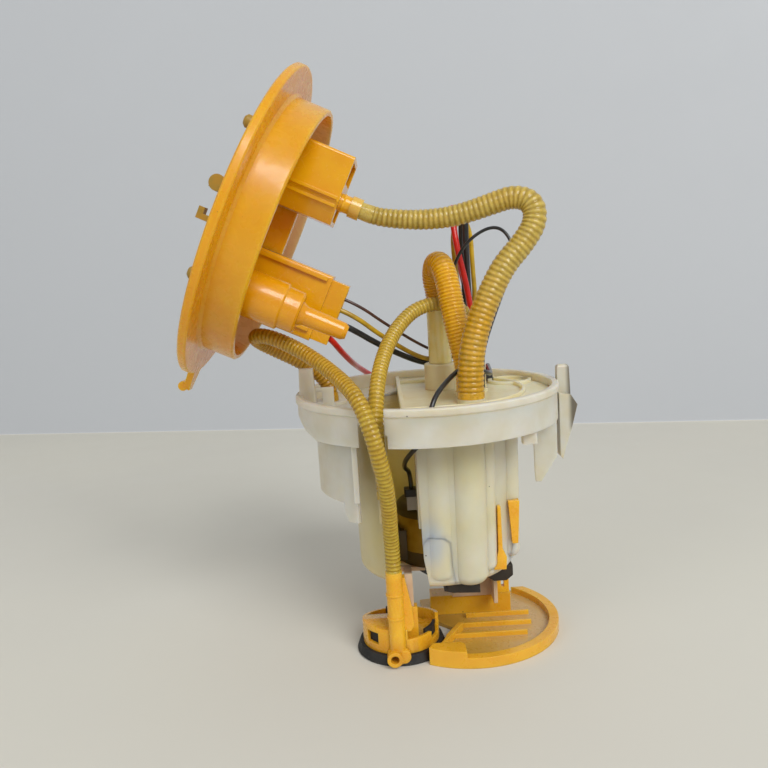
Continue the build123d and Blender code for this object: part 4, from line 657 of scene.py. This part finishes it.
def spring_tree(material):
    """Nodes that wind a round-wire coil spring."""
    tree = bpy.data.node_groups.new("Coil spring", "GeometryNodeTree")
    face = tree.interface
    face.new_socket(name="Seed", in_out="INPUT", socket_type="NodeSocketGeometry")
    for text in ("Turns", "Radius", "Wire", "Height", "X", "Y", "Z"):
        face.new_socket(name=text, in_out="INPUT", socket_type="NodeSocketFloat")
    face.new_socket(name="Spring", in_out="OUTPUT", socket_type="NodeSocketGeometry")
    b = Bench(tree)
    i = b.add("NodeGroupInput").outputs
    coil = b.add("GeometryNodeCurveSpiral", {"Resolution": 24, "Rotations": i["Turns"], "Height": i["Height"],
                                             "Start Radius": i["Radius"], "End Radius": i["Radius"]})
    ring = b.add("GeometryNodeCurvePrimitiveCircle", {"Resolution": 8, "Radius": i["Wire"]})
    wire = b.add("GeometryNodeCurveToMesh", {"Curve": coil.outputs[0], "Profile Curve": ring.outputs[0],
                                             "Fill Caps": True})
    spot = b.add("ShaderNodeCombineXYZ", {"X": i["X"], "Y": i["Y"], "Z": i["Z"]})
    moved = b.add("GeometryNodeTransform", {"Geometry": wire.outputs[0], "Translation": spot.outputs[0]})
    real = b.add("GeometryNodeRealizeInstances", {"Geometry": moved.outputs[0]})
    done = b.add("GeometryNodeSetMaterial", {"Geometry": real.outputs[0], "Material": material})
    b.put(b.add("NodeGroupOutput").inputs["Spring"], done.outputs[0])
    return tree


def evaluated_mesh(thing):
    """What an object's modifiers make, as a plain mesh."""
    bpy.context.view_layer.update()
    graph = bpy.context.evaluated_depsgraph_get()
    return bpy.data.meshes.new_from_object(thing.evaluated_get(graph), depsgraph=graph)


def lay_hose(name, tree, material, sizes):
    """A corrugated hose along its route, shown in place of its plain solid, which is hidden."""
    diameter, run, stiffness, points = ROUTES[name]
    line = lay_curve(name + "_line", points)
    path = [v.co.copy() for v in bpy.data.meshes.new_from_object(line).vertices]
    ridges = line.modifiers.new("ridges", "NODES")
    ridges.node_group = tree
    sockets = {s.name: s.identifier for s in tree.interface.items_tree if s.in_out == "INPUT"}
    for text, value in sizes.items():
        ridges[sockets[text]] = value
    mesh = evaluated_mesh(line)
    bpy.data.objects.remove(line)
    made = piece(name + "_skin", mesh, material)
    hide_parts(name)
    return made


def lay_lead(name, material):
    """An insulated lead along its route, shown in place of its plain solid, which is hidden."""
    diameter, run, stiffness, points = ROUTES[name]
    made = lay_curve(name + "_wire", points, diameter / 2)
    made.data.materials.append(material)
    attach(made, ROOT)
    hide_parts(name)
    return made


# ---- stage --------------------------------------------------------------------------------------
CAMERA_AT = (-0.020, -0.366, 0.177)
CAMERA_RIGHT = (0.99813, -0.00892, -0.06039)
CAMERA_UP = (0.06105, 0.14581, 0.98743)
WALL_AT = (-0.068, 0.503, 0.0)      # a spot on the line where the wall meets the table
WALL_ALONG = (0.9795, -0.2017, 0.0)
WALL_AWAY = (0.2017, 0.9795, 0.0)
WALL_BEND = 0.002
WALL_HEIGHT = 2.2
WALL_HALF = 2.6
TABLE_DEPTH = 2.4
ROOM_TINT = (0.97, 0.985, 1.0, 1.0)
LAMPS = (                           # name, place, what it points at, size, share of the key power
    ("key lamp", (1.0, -2.0, 1.9), (0, 0, 0.1), 1.5, 1.0),
    ("side lamp", (-1.3, -0.9, 0.9), (0, 0, 0.12), 0.8, 0.08),
)


class PUMP_OT_stage(bpy.types.Operator):
    """Makes the camera, the lamps, the table top and the backdrop"""
    bl_idname = "pump.stage"
    bl_label = "Stage"

    def execute(self, context):
        use = settings().stage
        self.place_camera(context, use)
        self.place_backdrop(context, use)
        self.place_lamps(context, use)
        return {"FINISHED"}

    def place_camera(self, context, use):
        """The view that the module is shown in."""
        right = Vector(CAMERA_RIGHT).normalized()
        up = Vector(CAMERA_UP)
        up = (up - right * up.dot(right)).normalized()
        back = right.cross(up)
        data = bpy.data.cameras.new("view")
        data.sensor_width = 36.0
        data.lens = use.lens
        data.clip_start = 0.01
        made = bpy.data.objects.new("view", data)
        turn = Matrix((right, up, back)).transposed()
        made.matrix_world = Matrix.Translation(CAMERA_AT) @ turn.to_4x4()
        context.scene.collection.objects.link(made)
        context.scene.camera = made

    def place_backdrop(self, context, use):
        """One sheet: the table top, a small bend and the wall behind."""
        along, away, foot = Vector(WALL_ALONG), Vector(WALL_AWAY), Vector(WALL_AT)
        profile = [(-TABLE_DEPTH, 0.0), (-WALL_BEND, 0.0)]
        for k in range(1, 9):
            t = math.pi / 2 * k / 8
            profile.append((-WALL_BEND + WALL_BEND * math.sin(t), WALL_BEND - WALL_BEND * math.cos(t)))
        profile.append((0.0, WALL_HEIGHT))
        work = bmesh.new()
        rows = [[work.verts.new(foot + away * d + along * s + Vector((0, 0, z))) for d, z in profile]
                for s in (-WALL_HALF, WALL_HALF)]
        for k in range(len(profile) - 1):
            work.faces.new((rows[0][k], rows[1][k], rows[1][k + 1], rows[0][k + 1]))
        mesh = bpy.data.meshes.new("backdrop")
        work.to_mesh(mesh)
        work.free()
        mesh.materials.append(self.table_finish(use))
        mesh.shade_smooth()
        made = bpy.data.objects.new("backdrop", mesh)
        context.scene.collection.objects.link(made)

    def table_finish(self, use):
        """Cloudy table top with crumbs of dirt, and a plain wall above it."""
        fx = effects()
        made, b, shader = blank("table and wall")
        place = b.add("ShaderNodeSeparateXYZ", {"Vector": b.place()})
        wall = b.ramp(place.outputs[2], 0.0001, 0.0012)
        cloud = b.group(fx["mottle"], size=0.35)
        table = b.mix(b.times(cloud["Cloud"], 0.5), use.floor, rgb(206, 203, 194))
        specks = b.group(fx["specks"], spacing=0.05, radius=0.03, share=0.16)["Mask"]
        table = b.mix(b.times(specks, 0.6), table, rgb(105, 100, 92))
        b.fill(shader, {"Base Color": b.mix(wall, table, use.wall), "Specular IOR Level": 0.25,
                        "Roughness": b.plus(0.5, b.times(cloud["Fine"], 0.2))})
        return made

    def place_lamps(self, context, use):
        """A large soft lamp from the front right, a weak one from the left, and even room light."""
        world = bpy.data.worlds.new("room")
        world.use_nodes = True
        shade = world.node_tree.nodes["Background"]
        Bench(world.node_tree).fill(shade, {"Color": ROOM_TINT, "Strength": use.fill})
        context.scene.world = world
        for name, place, target, size, share in LAMPS:
            lamp = bpy.data.lights.new(name, "AREA")
            lamp.shape = "SQUARE"
            lamp.size = size
            lamp.energy = use.key * share
            made = bpy.data.objects.new(name, lamp)
            made.location = place
            aim = Vector(target) - Vector(place)
            made.rotation_euler = aim.to_track_quat("-Z", "Y").to_euler()
            context.scene.collection.objects.link(made)
        context.scene.view_settings.view_transform = "Standard"


# ---- hoses, leads and the parts' finishes -------------------------------------------------------
FEED_TURN = (0.62, 0.86)            # shares of the feed hose between which it turns amber
PLAIN_END = 0.003                   # plain stretch at the far end of each hose


class PUMP_OT_hoses(bpy.types.Operator):
    """Lays the four corrugated hoses"""
    bl_idname = "pump.hoses"
    bl_label = "Hoses"

    def execute(self, context):
        use = settings().hoses
        feed = hose_nylon("feed hose nylon", use.pale, use.amber, rgb(140, 112, 22), FEED_TURN)
        branch = hose_nylon("branch hose nylon", rgb(200, 172, 74), rgb(204, 166, 44), rgb(150, 122, 28))
        jet = hose_nylon("jet hose nylon", rgb(186, 160, 48), rgb(194, 138, 8), rgb(142, 104, 10))
        outlet = hose_nylon("outlet hose nylon", rgb(236, 178, 0), rgb(238, 182, 0), rgb(188, 124, 0))
        tree = corrugation_tree(feed)
        for name, material, pitch, start, end, plain in (
                ("feed_hose", feed, use.wide_pitch, 0.0038, 0.0060, 0.006),
                ("outlet_hose", outlet, use.loop_pitch, 0.0055, 0.0058, 0.002),
                ("branch_hose", branch, use.thin_pitch, 0.0034, 0.0035, 0.002),
                ("jet_hose", jet, use.thin_pitch, 0.0035, 0.0035, 0.0005)):
            lay_hose(name, tree, material, {
                "Start radius": start, "End radius": end, "Pitch": pitch, "Groove depth": use.groove,
                "Plain start": plain, "Plain end": PLAIN_END, "Sides": use.sides})
        return {"FINISHED"}


class PUMP_OT_leads(bpy.types.Operator):
    """Lays the insulated leads"""
    bl_idname = "pump.leads"
    bl_label = "Leads"

    def execute(self, context):
        use = settings().leads
        red = insulation("red insulation", use.red, rgb(196, 24, 14))
        yellow = insulation("yellow insulation", use.yellow, rgb(176, 140, 30))
        black = insulation("black insulation", use.black, rgb(38, 40, 42))
        brown = insulation("brown insulation", use.brown, rgb(70, 46, 38))
        for name, material, finish in (
                ("brown_lead", brown, "lead_brown"), ("yellow_lead", yellow, "lead_yellow"),
                ("black_lead", black, "lead_black"), ("red_lead", red, "lead_red"),
                ("supply_loop", red, "lead_red"), ("sender_lead", black, "lead_black"),
                ("pump_lead", black, "lead_black")):
            lay_lead(name, material)
        return {"FINISHED"}


class PUMP_OT_flange(bpy.types.Operator):
    """Finishes the tank flange, its housings, ports and connector"""
    bl_idname = "pump.flange"
    bl_label = "Flange"

    def execute(self, context):
        use = settings().flange
        # the flange resin carries painted back-light inside its skirt
        disc = plastic("flange resin", use.resin, use.deep, rough=0.24, glow=0.7, glow_reach=0.008,
                       cloud=0.03, dirt_share=0.2, coat=0.2, patch=self.backlit_inside)
        dress(disc, "flange_cover")
        housing = plastic("housing resin", use.housing, rgb(230, 162, 2), rough=0.2, glow=0.3, cloud=0.012,
                          coat=0.35)
        dress(housing, "port_block", "harness_connector")
        valve = plastic("valve resin", rgb(232, 162, 8), rgb(222, 150, 6), rough=0.2, glow=0.3, cloud=0.01,
                        coat=0.35)
        dress(valve, "relief_valve")
        cuff = plastic("cuff resin", rgb(226, 184, 84), rgb(214, 166, 60), rough=0.2, glow=0.5, cloud=0.006,
                       coat=0.4)
        dress(cuff, "feed_cuff")
        pegs = plastic("aged peg resin", use.pegs, rgb(176, 130, 30), rough=0.38, glow=0.1, cloud=0.006,
                       dirt_share=0.35)
        dress(pegs, "outer_socket", "feed_spigot", "return_spigot")
        dress(rubber("seal rubber", rgb(28, 28, 30), rgb(48, 47, 46)), "harness_seal")
        dress(metal("tinned pins", rgb(206, 196, 160), rgb(180, 164, 120), rough=0.22), "outer_pins")
        return {"FINISHED"}

    def backlit_inside(self, b, tint):
        """Painted light: the skirt's far inner wall painted pale, as if lit through from behind."""
        wall = b.ramp(b.reach(FLANGE_AT, FLANGE_SIDE, FLANGE_UP), *SKIRT_WALL, 1.0, 0.0)
        depth = b.ramp(b.measure(FLANGE_AT, FLANGE_OUT), *WEB_FACE)
        back = b.ramp(b.measure(FLANGE_AT, FLANGE_SIDE), *BACKLIT_SIDE)
        mask = b.times(wall, b.times(depth, back))
        # painted back-light: pale (214, 190, 166) over the skirt's far inner wall
        return b.mix(b.times(mask, 0.75), tint, rgb(214, 190, 166))


class PUMP_OT_reservoir(bpy.types.Operator):
    """Finishes the reservoir: collar, pot, lid, brackets and strainer cup"""
    bl_idname = "pump.reservoir"
    bl_label = "Reservoir"

    def execute(self, context):
        use = settings().reservoir
        collar = plastic("collar resin", use.resin, use.deep, rough=0.34, glow=0.85, glow_reach=0.011,
                         cloud=0.012, dirt_share=0.08, veil=(212, 210, 204))
        dress(collar, "reservoir_collar")
        # the pot resin carries fuel stain and painted shade on its left
        pot = plastic("pot resin", rgb(240, 216, 186), rgb(226, 201, 154), rough=0.3, glow=0.9,
                      glow_reach=0.012, cloud=0.03, dirt_share=0.1, coat=0.15, patch=self.pot_stains,
                      veil=(222, 206, 196))
        dress(pot, "swirl_pot", "branch_nipple", "strainer_cup")
        lid = plastic("lid resin", rgb(236, 225, 190), rgb(226, 208, 158), rough=0.34, glow=0.7,
                      glow_reach=0.01, cloud=0.02, dirt_share=0.1)
        dress(lid, "pump_lid")
        bracket = plastic("bracket resin", rgb(204, 202, 190), rgb(200, 192, 166), rough=0.34, glow=0.4,
                          cloud=0.01, dirt_share=0.2, patch=self.dark_comb)
        dress(bracket, "side_bracket")
        cuff = plastic("cuff nylon", rgb(252, 238, 178), rgb(250, 228, 140), rough=0.12, glow=0.4, cloud=0.01,
                       coat=0.6)
        dress(cuff, "outlet_cuff")
        dress(rubber("gland rubber", rgb(24, 24, 26), rgb(44, 43, 42)), "wire_gland")
        return {"FINISHED"}

    def dark_comb(self, b, tint):
        """The bracket's comb, darker grey-brown over its teeth."""
        out = b.ramp(b.measure(ORIGIN, ACROSS), *COMB_OUT)
        high = b.ramp(b.measure(ORIGIN, UPWARD), *COMB_HIGH)
        # darker grey-brown (70, 62, 48) over the comb
        return b.mix(b.times(b.times(out, high), 0.85), tint, rgb(70, 62, 48))

    def pot_stains(self, b, tint):
        """Khaki over the left of the pot, partly fuel stain and partly painted shade behind the hoses, and a
        cool bluish area low beside the front column.
        """
        left = b.ramp(b.measure(ORIGIN, ACROSS), *STAIN_AND_SHADE_START)
        # partly fuel stain, partly painted shade: khaki (200, 180, 116) towards the left
        tint = b.mix(b.times(left, 0.6), tint, rgb(200, 180, 116))
        return b.mix(b.times(self.cool_area(b), 0.75), tint, rgb(180, 190, 198))

    def cool_area(self, b):
        """Mask of a soft upright oval low on the front of the reservoir."""
        across = b.times(b.measure(COOL_AT, ACROSS), COOL_NARROW)
        away = b.span(across, b.measure(COOL_AT, UPWARD))
        front = b.ramp(b.measure(ORIGIN, BACKWARD), *POT_FRONT, 1.0, 0.0)
        return b.times(front, b.ramp(away, *COOL_EDGE, 1.0, 0.0))


class PUMP_OT_pump(bpy.types.Operator):
    """Finishes the pump and the parts inside it"""
    bl_idname = "pump.pump"
    bl_label = "Pump"

    def execute(self, context):
        use = settings().pump
        dress(metal("passivated steel", use.can, rgb(132, 108, 42), rough=0.34), "pump_can")
        cap = plastic("cap polymer", use.cap, rgb(66, 52, 20), rough=0.34, glow=0.05, cloud=0.01)
        dress(cap, "pump_cap", "pump_inlet", "pump_isolator")
        white = plastic("white polymer", rgb(212, 206, 196), rgb(198, 188, 172), rough=0.4, glow=0.3,
                        cloud=0.01)
        dress(white, "pump_terminal")
        black = plastic("black polymer", rgb(30, 28, 26), rgb(46, 40, 34), rough=0.42, glow=0.0, cloud=0.008,
                        dirt=(110, 100, 84))
        dress(black, "lead_plug", "impeller", "check_poppet")
        self.coil_spring(metal("spring steel", rgb(190, 190, 188), rgb(160, 160, 160), rough=0.2))
        dress(metal("ferrite", rgb(86, 86, 90), rgb(64, 64, 68), rough=0.5), "magnets")
        dress(metal("copper and laminations", rgb(196, 132, 88), rgb(150, 96, 62), rough=0.32), "armature")
        dress(metal("carbon", rgb(58, 58, 60), rgb(40, 40, 42), rough=0.55), "brushes")
        return {"FINISHED"}

    def coil_spring(self, material):
        """The check valve's spring, wound as a coil in place of its plain solid."""
        low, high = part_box("check_spring")
        middle = [(a + c) / 2 for a, c in zip(low, high)]
        holder = bpy.data.objects.new("spring_seed", bpy.data.meshes.new("spring_seed"))
        bpy.context.scene.collection.objects.link(holder)
        coil = holder.modifiers.new("coil", "NODES")
        coil.node_group = spring_tree(material)
        sockets = {s.name: s.identifier for s in coil.node_group.interface.items_tree if s.in_out == "INPUT"}
        sizes = {"Turns": SPRING_TURNS, "Radius": (high[0] - low[0]) / 2 - SPRING_WIRE, "Wire": SPRING_WIRE,
                 "Height": high[2] - low[2] - 2 * SPRING_WIRE,
                 "X": middle[0], "Y": middle[1], "Z": low[2] + SPRING_WIRE}
        for text, value in sizes.items():
            coil[sockets[text]] = value
        mesh = evaluated_mesh(holder)
        bpy.data.objects.remove(holder)
        made = piece("check_spring_coil", mesh, material)
        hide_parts("check_spring")
        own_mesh(made)


class PUMP_OT_foot(bpy.types.Operator):
    """Finishes the jet foot, the tray and its bracket, the strainer frame and the rails"""
    bl_idname = "pump.foot"
    bl_label = "Foot and tray"

    def execute(self, context):
        use = settings().foot
        # the foot parts darken in a brownish band towards the bottom
        resin = plastic("foot resin", use.resin, rgb(230, 164, 22), rough=0.24, glow=0.35, cloud=0.012,
                        coat=0.25, stain=((176, 112, 24), 0.008, 0.006, 0.5))
        dress(resin, "foot_cup", "jet_riser", "pot_clip", "tray_bracket")
        tray = plastic("tray resin", use.resin, rgb(222, 164, 40), rough=0.26, glow=0.4, cloud=0.02, coat=0.2,
                       dirt_share=0.3, patch=self.thin_panel)
        dress(tray, "floor_tray")
        dress(rubber("foot rubber", rgb(20, 20, 20), rgb(38, 36, 33)), "foot_seal", "foot_valve")
        rail = plastic("rail resin", rgb(214, 190, 160), rgb(202, 170, 138), rough=0.36, glow=0.4, cloud=0.01)
        dress(rail, "guide_rail", "baffle_wall")
        black = plastic("glass-filled black", rgb(32, 26, 20), rgb(50, 42, 32), rough=0.45, glow=0.0,
                        cloud=0.01, dirt=(120, 108, 86))
        dress(black, "strainer_frame")
        return {"FINISHED"}

    def thin_panel(self, b, tint):
        """The tray's thin tan panel, inside its orange rim and under its ribs."""
        inside = b.ramp(b.reach(TRAY_AT, ACROSS, BACKWARD), *TRAY_RIM, 1.0, 0.0)
        low = b.ramp(b.measure(ORIGIN, UPWARD), *TRAY_FLOOR, 1.0, 0.0)
        outer = b.ramp(b.measure(ORIGIN, ACROSS), *TRAY_FADE)
        panel = b.mix(outer, settings().foot.panel, rgb(196, 164, 112))
        return b.mix(b.times(b.times(inside, low), 0.9), tint, panel)


class PUMP_OT_sender(bpy.types.Operator):
    """Finishes the level sender"""
    bl_idname = "pump.sender"
    bl_label = "Level sender"

    def execute(self, context):
        use = settings().sender
        black = plastic("sender black", rgb(32, 32, 34), rgb(46, 45, 44), rough=0.4, glow=0.0, cloud=0.01,
                        dirt=(110, 104, 92))
        dress(black, "sender_housing")
        card = plastic("resistance card", rgb(214, 210, 196), rgb(196, 190, 172), rough=0.3, glow=0.1,
                       cloud=0.004)
        dress(card, "sender_card")
        dress(metal("bright wire", rgb(196, 194, 188), rgb(166, 164, 160), rough=0.2), "sender_arm")
        dress(rubber("float foam", use.float_foam, rgb(52, 50, 48), rough=0.75), "sender_float")
        return {"FINISHED"}


class PUMP_PT_panel(bpy.types.Panel):
    """Lists the module's steps and settings"""
    bl_idname = "PUMP_PT_panel"
    bl_label = "Fuel pump module"
    bl_space_type = "VIEW_3D"
    bl_region_type = "UI"
    bl_category = "Fuel pump"

    def draw(self, context):
        use = settings()
        for step, group in STEPS:
            box = self.layout.box()
            box.operator(step.bl_idname, text=step.bl_label)
            values = getattr(use, group)
            for name in values.__annotations__:
                box.prop(values, name)


STEPS = (
    (PUMP_OT_stage, "stage"),
    (PUMP_OT_hoses, "hoses"),
    (PUMP_OT_leads, "leads"),
    (PUMP_OT_flange, "flange"),
    (PUMP_OT_reservoir, "reservoir"),
    (PUMP_OT_pump, "pump"),
    (PUMP_OT_foot, "foot"),
    (PUMP_OT_sender, "sender"),
)
CLASSES = (
    StageSettings, HoseSettings, LeadSettings, FlangeSettings, ReservoirSettings, PumpSettings, FootSettings,
    SenderSettings, ModuleSettings, *(step for step, group in STEPS), PUMP_PT_panel,
)


def register():
    for kind in CLASSES:
        bpy.utils.register_class(kind)
    bpy.types.Scene.pump_module = PointerProperty(type=ModuleSettings)


def unregister():
    del bpy.types.Scene.pump_module
    for kind in reversed(CLASSES):
        bpy.utils.unregister_class(kind)


def main():
    register()
    for step, group in STEPS:
        family, name = step.bl_idname.split(".")
        getattr(getattr(bpy.ops, family), name)()


if __name__ == "__main__":
    main()
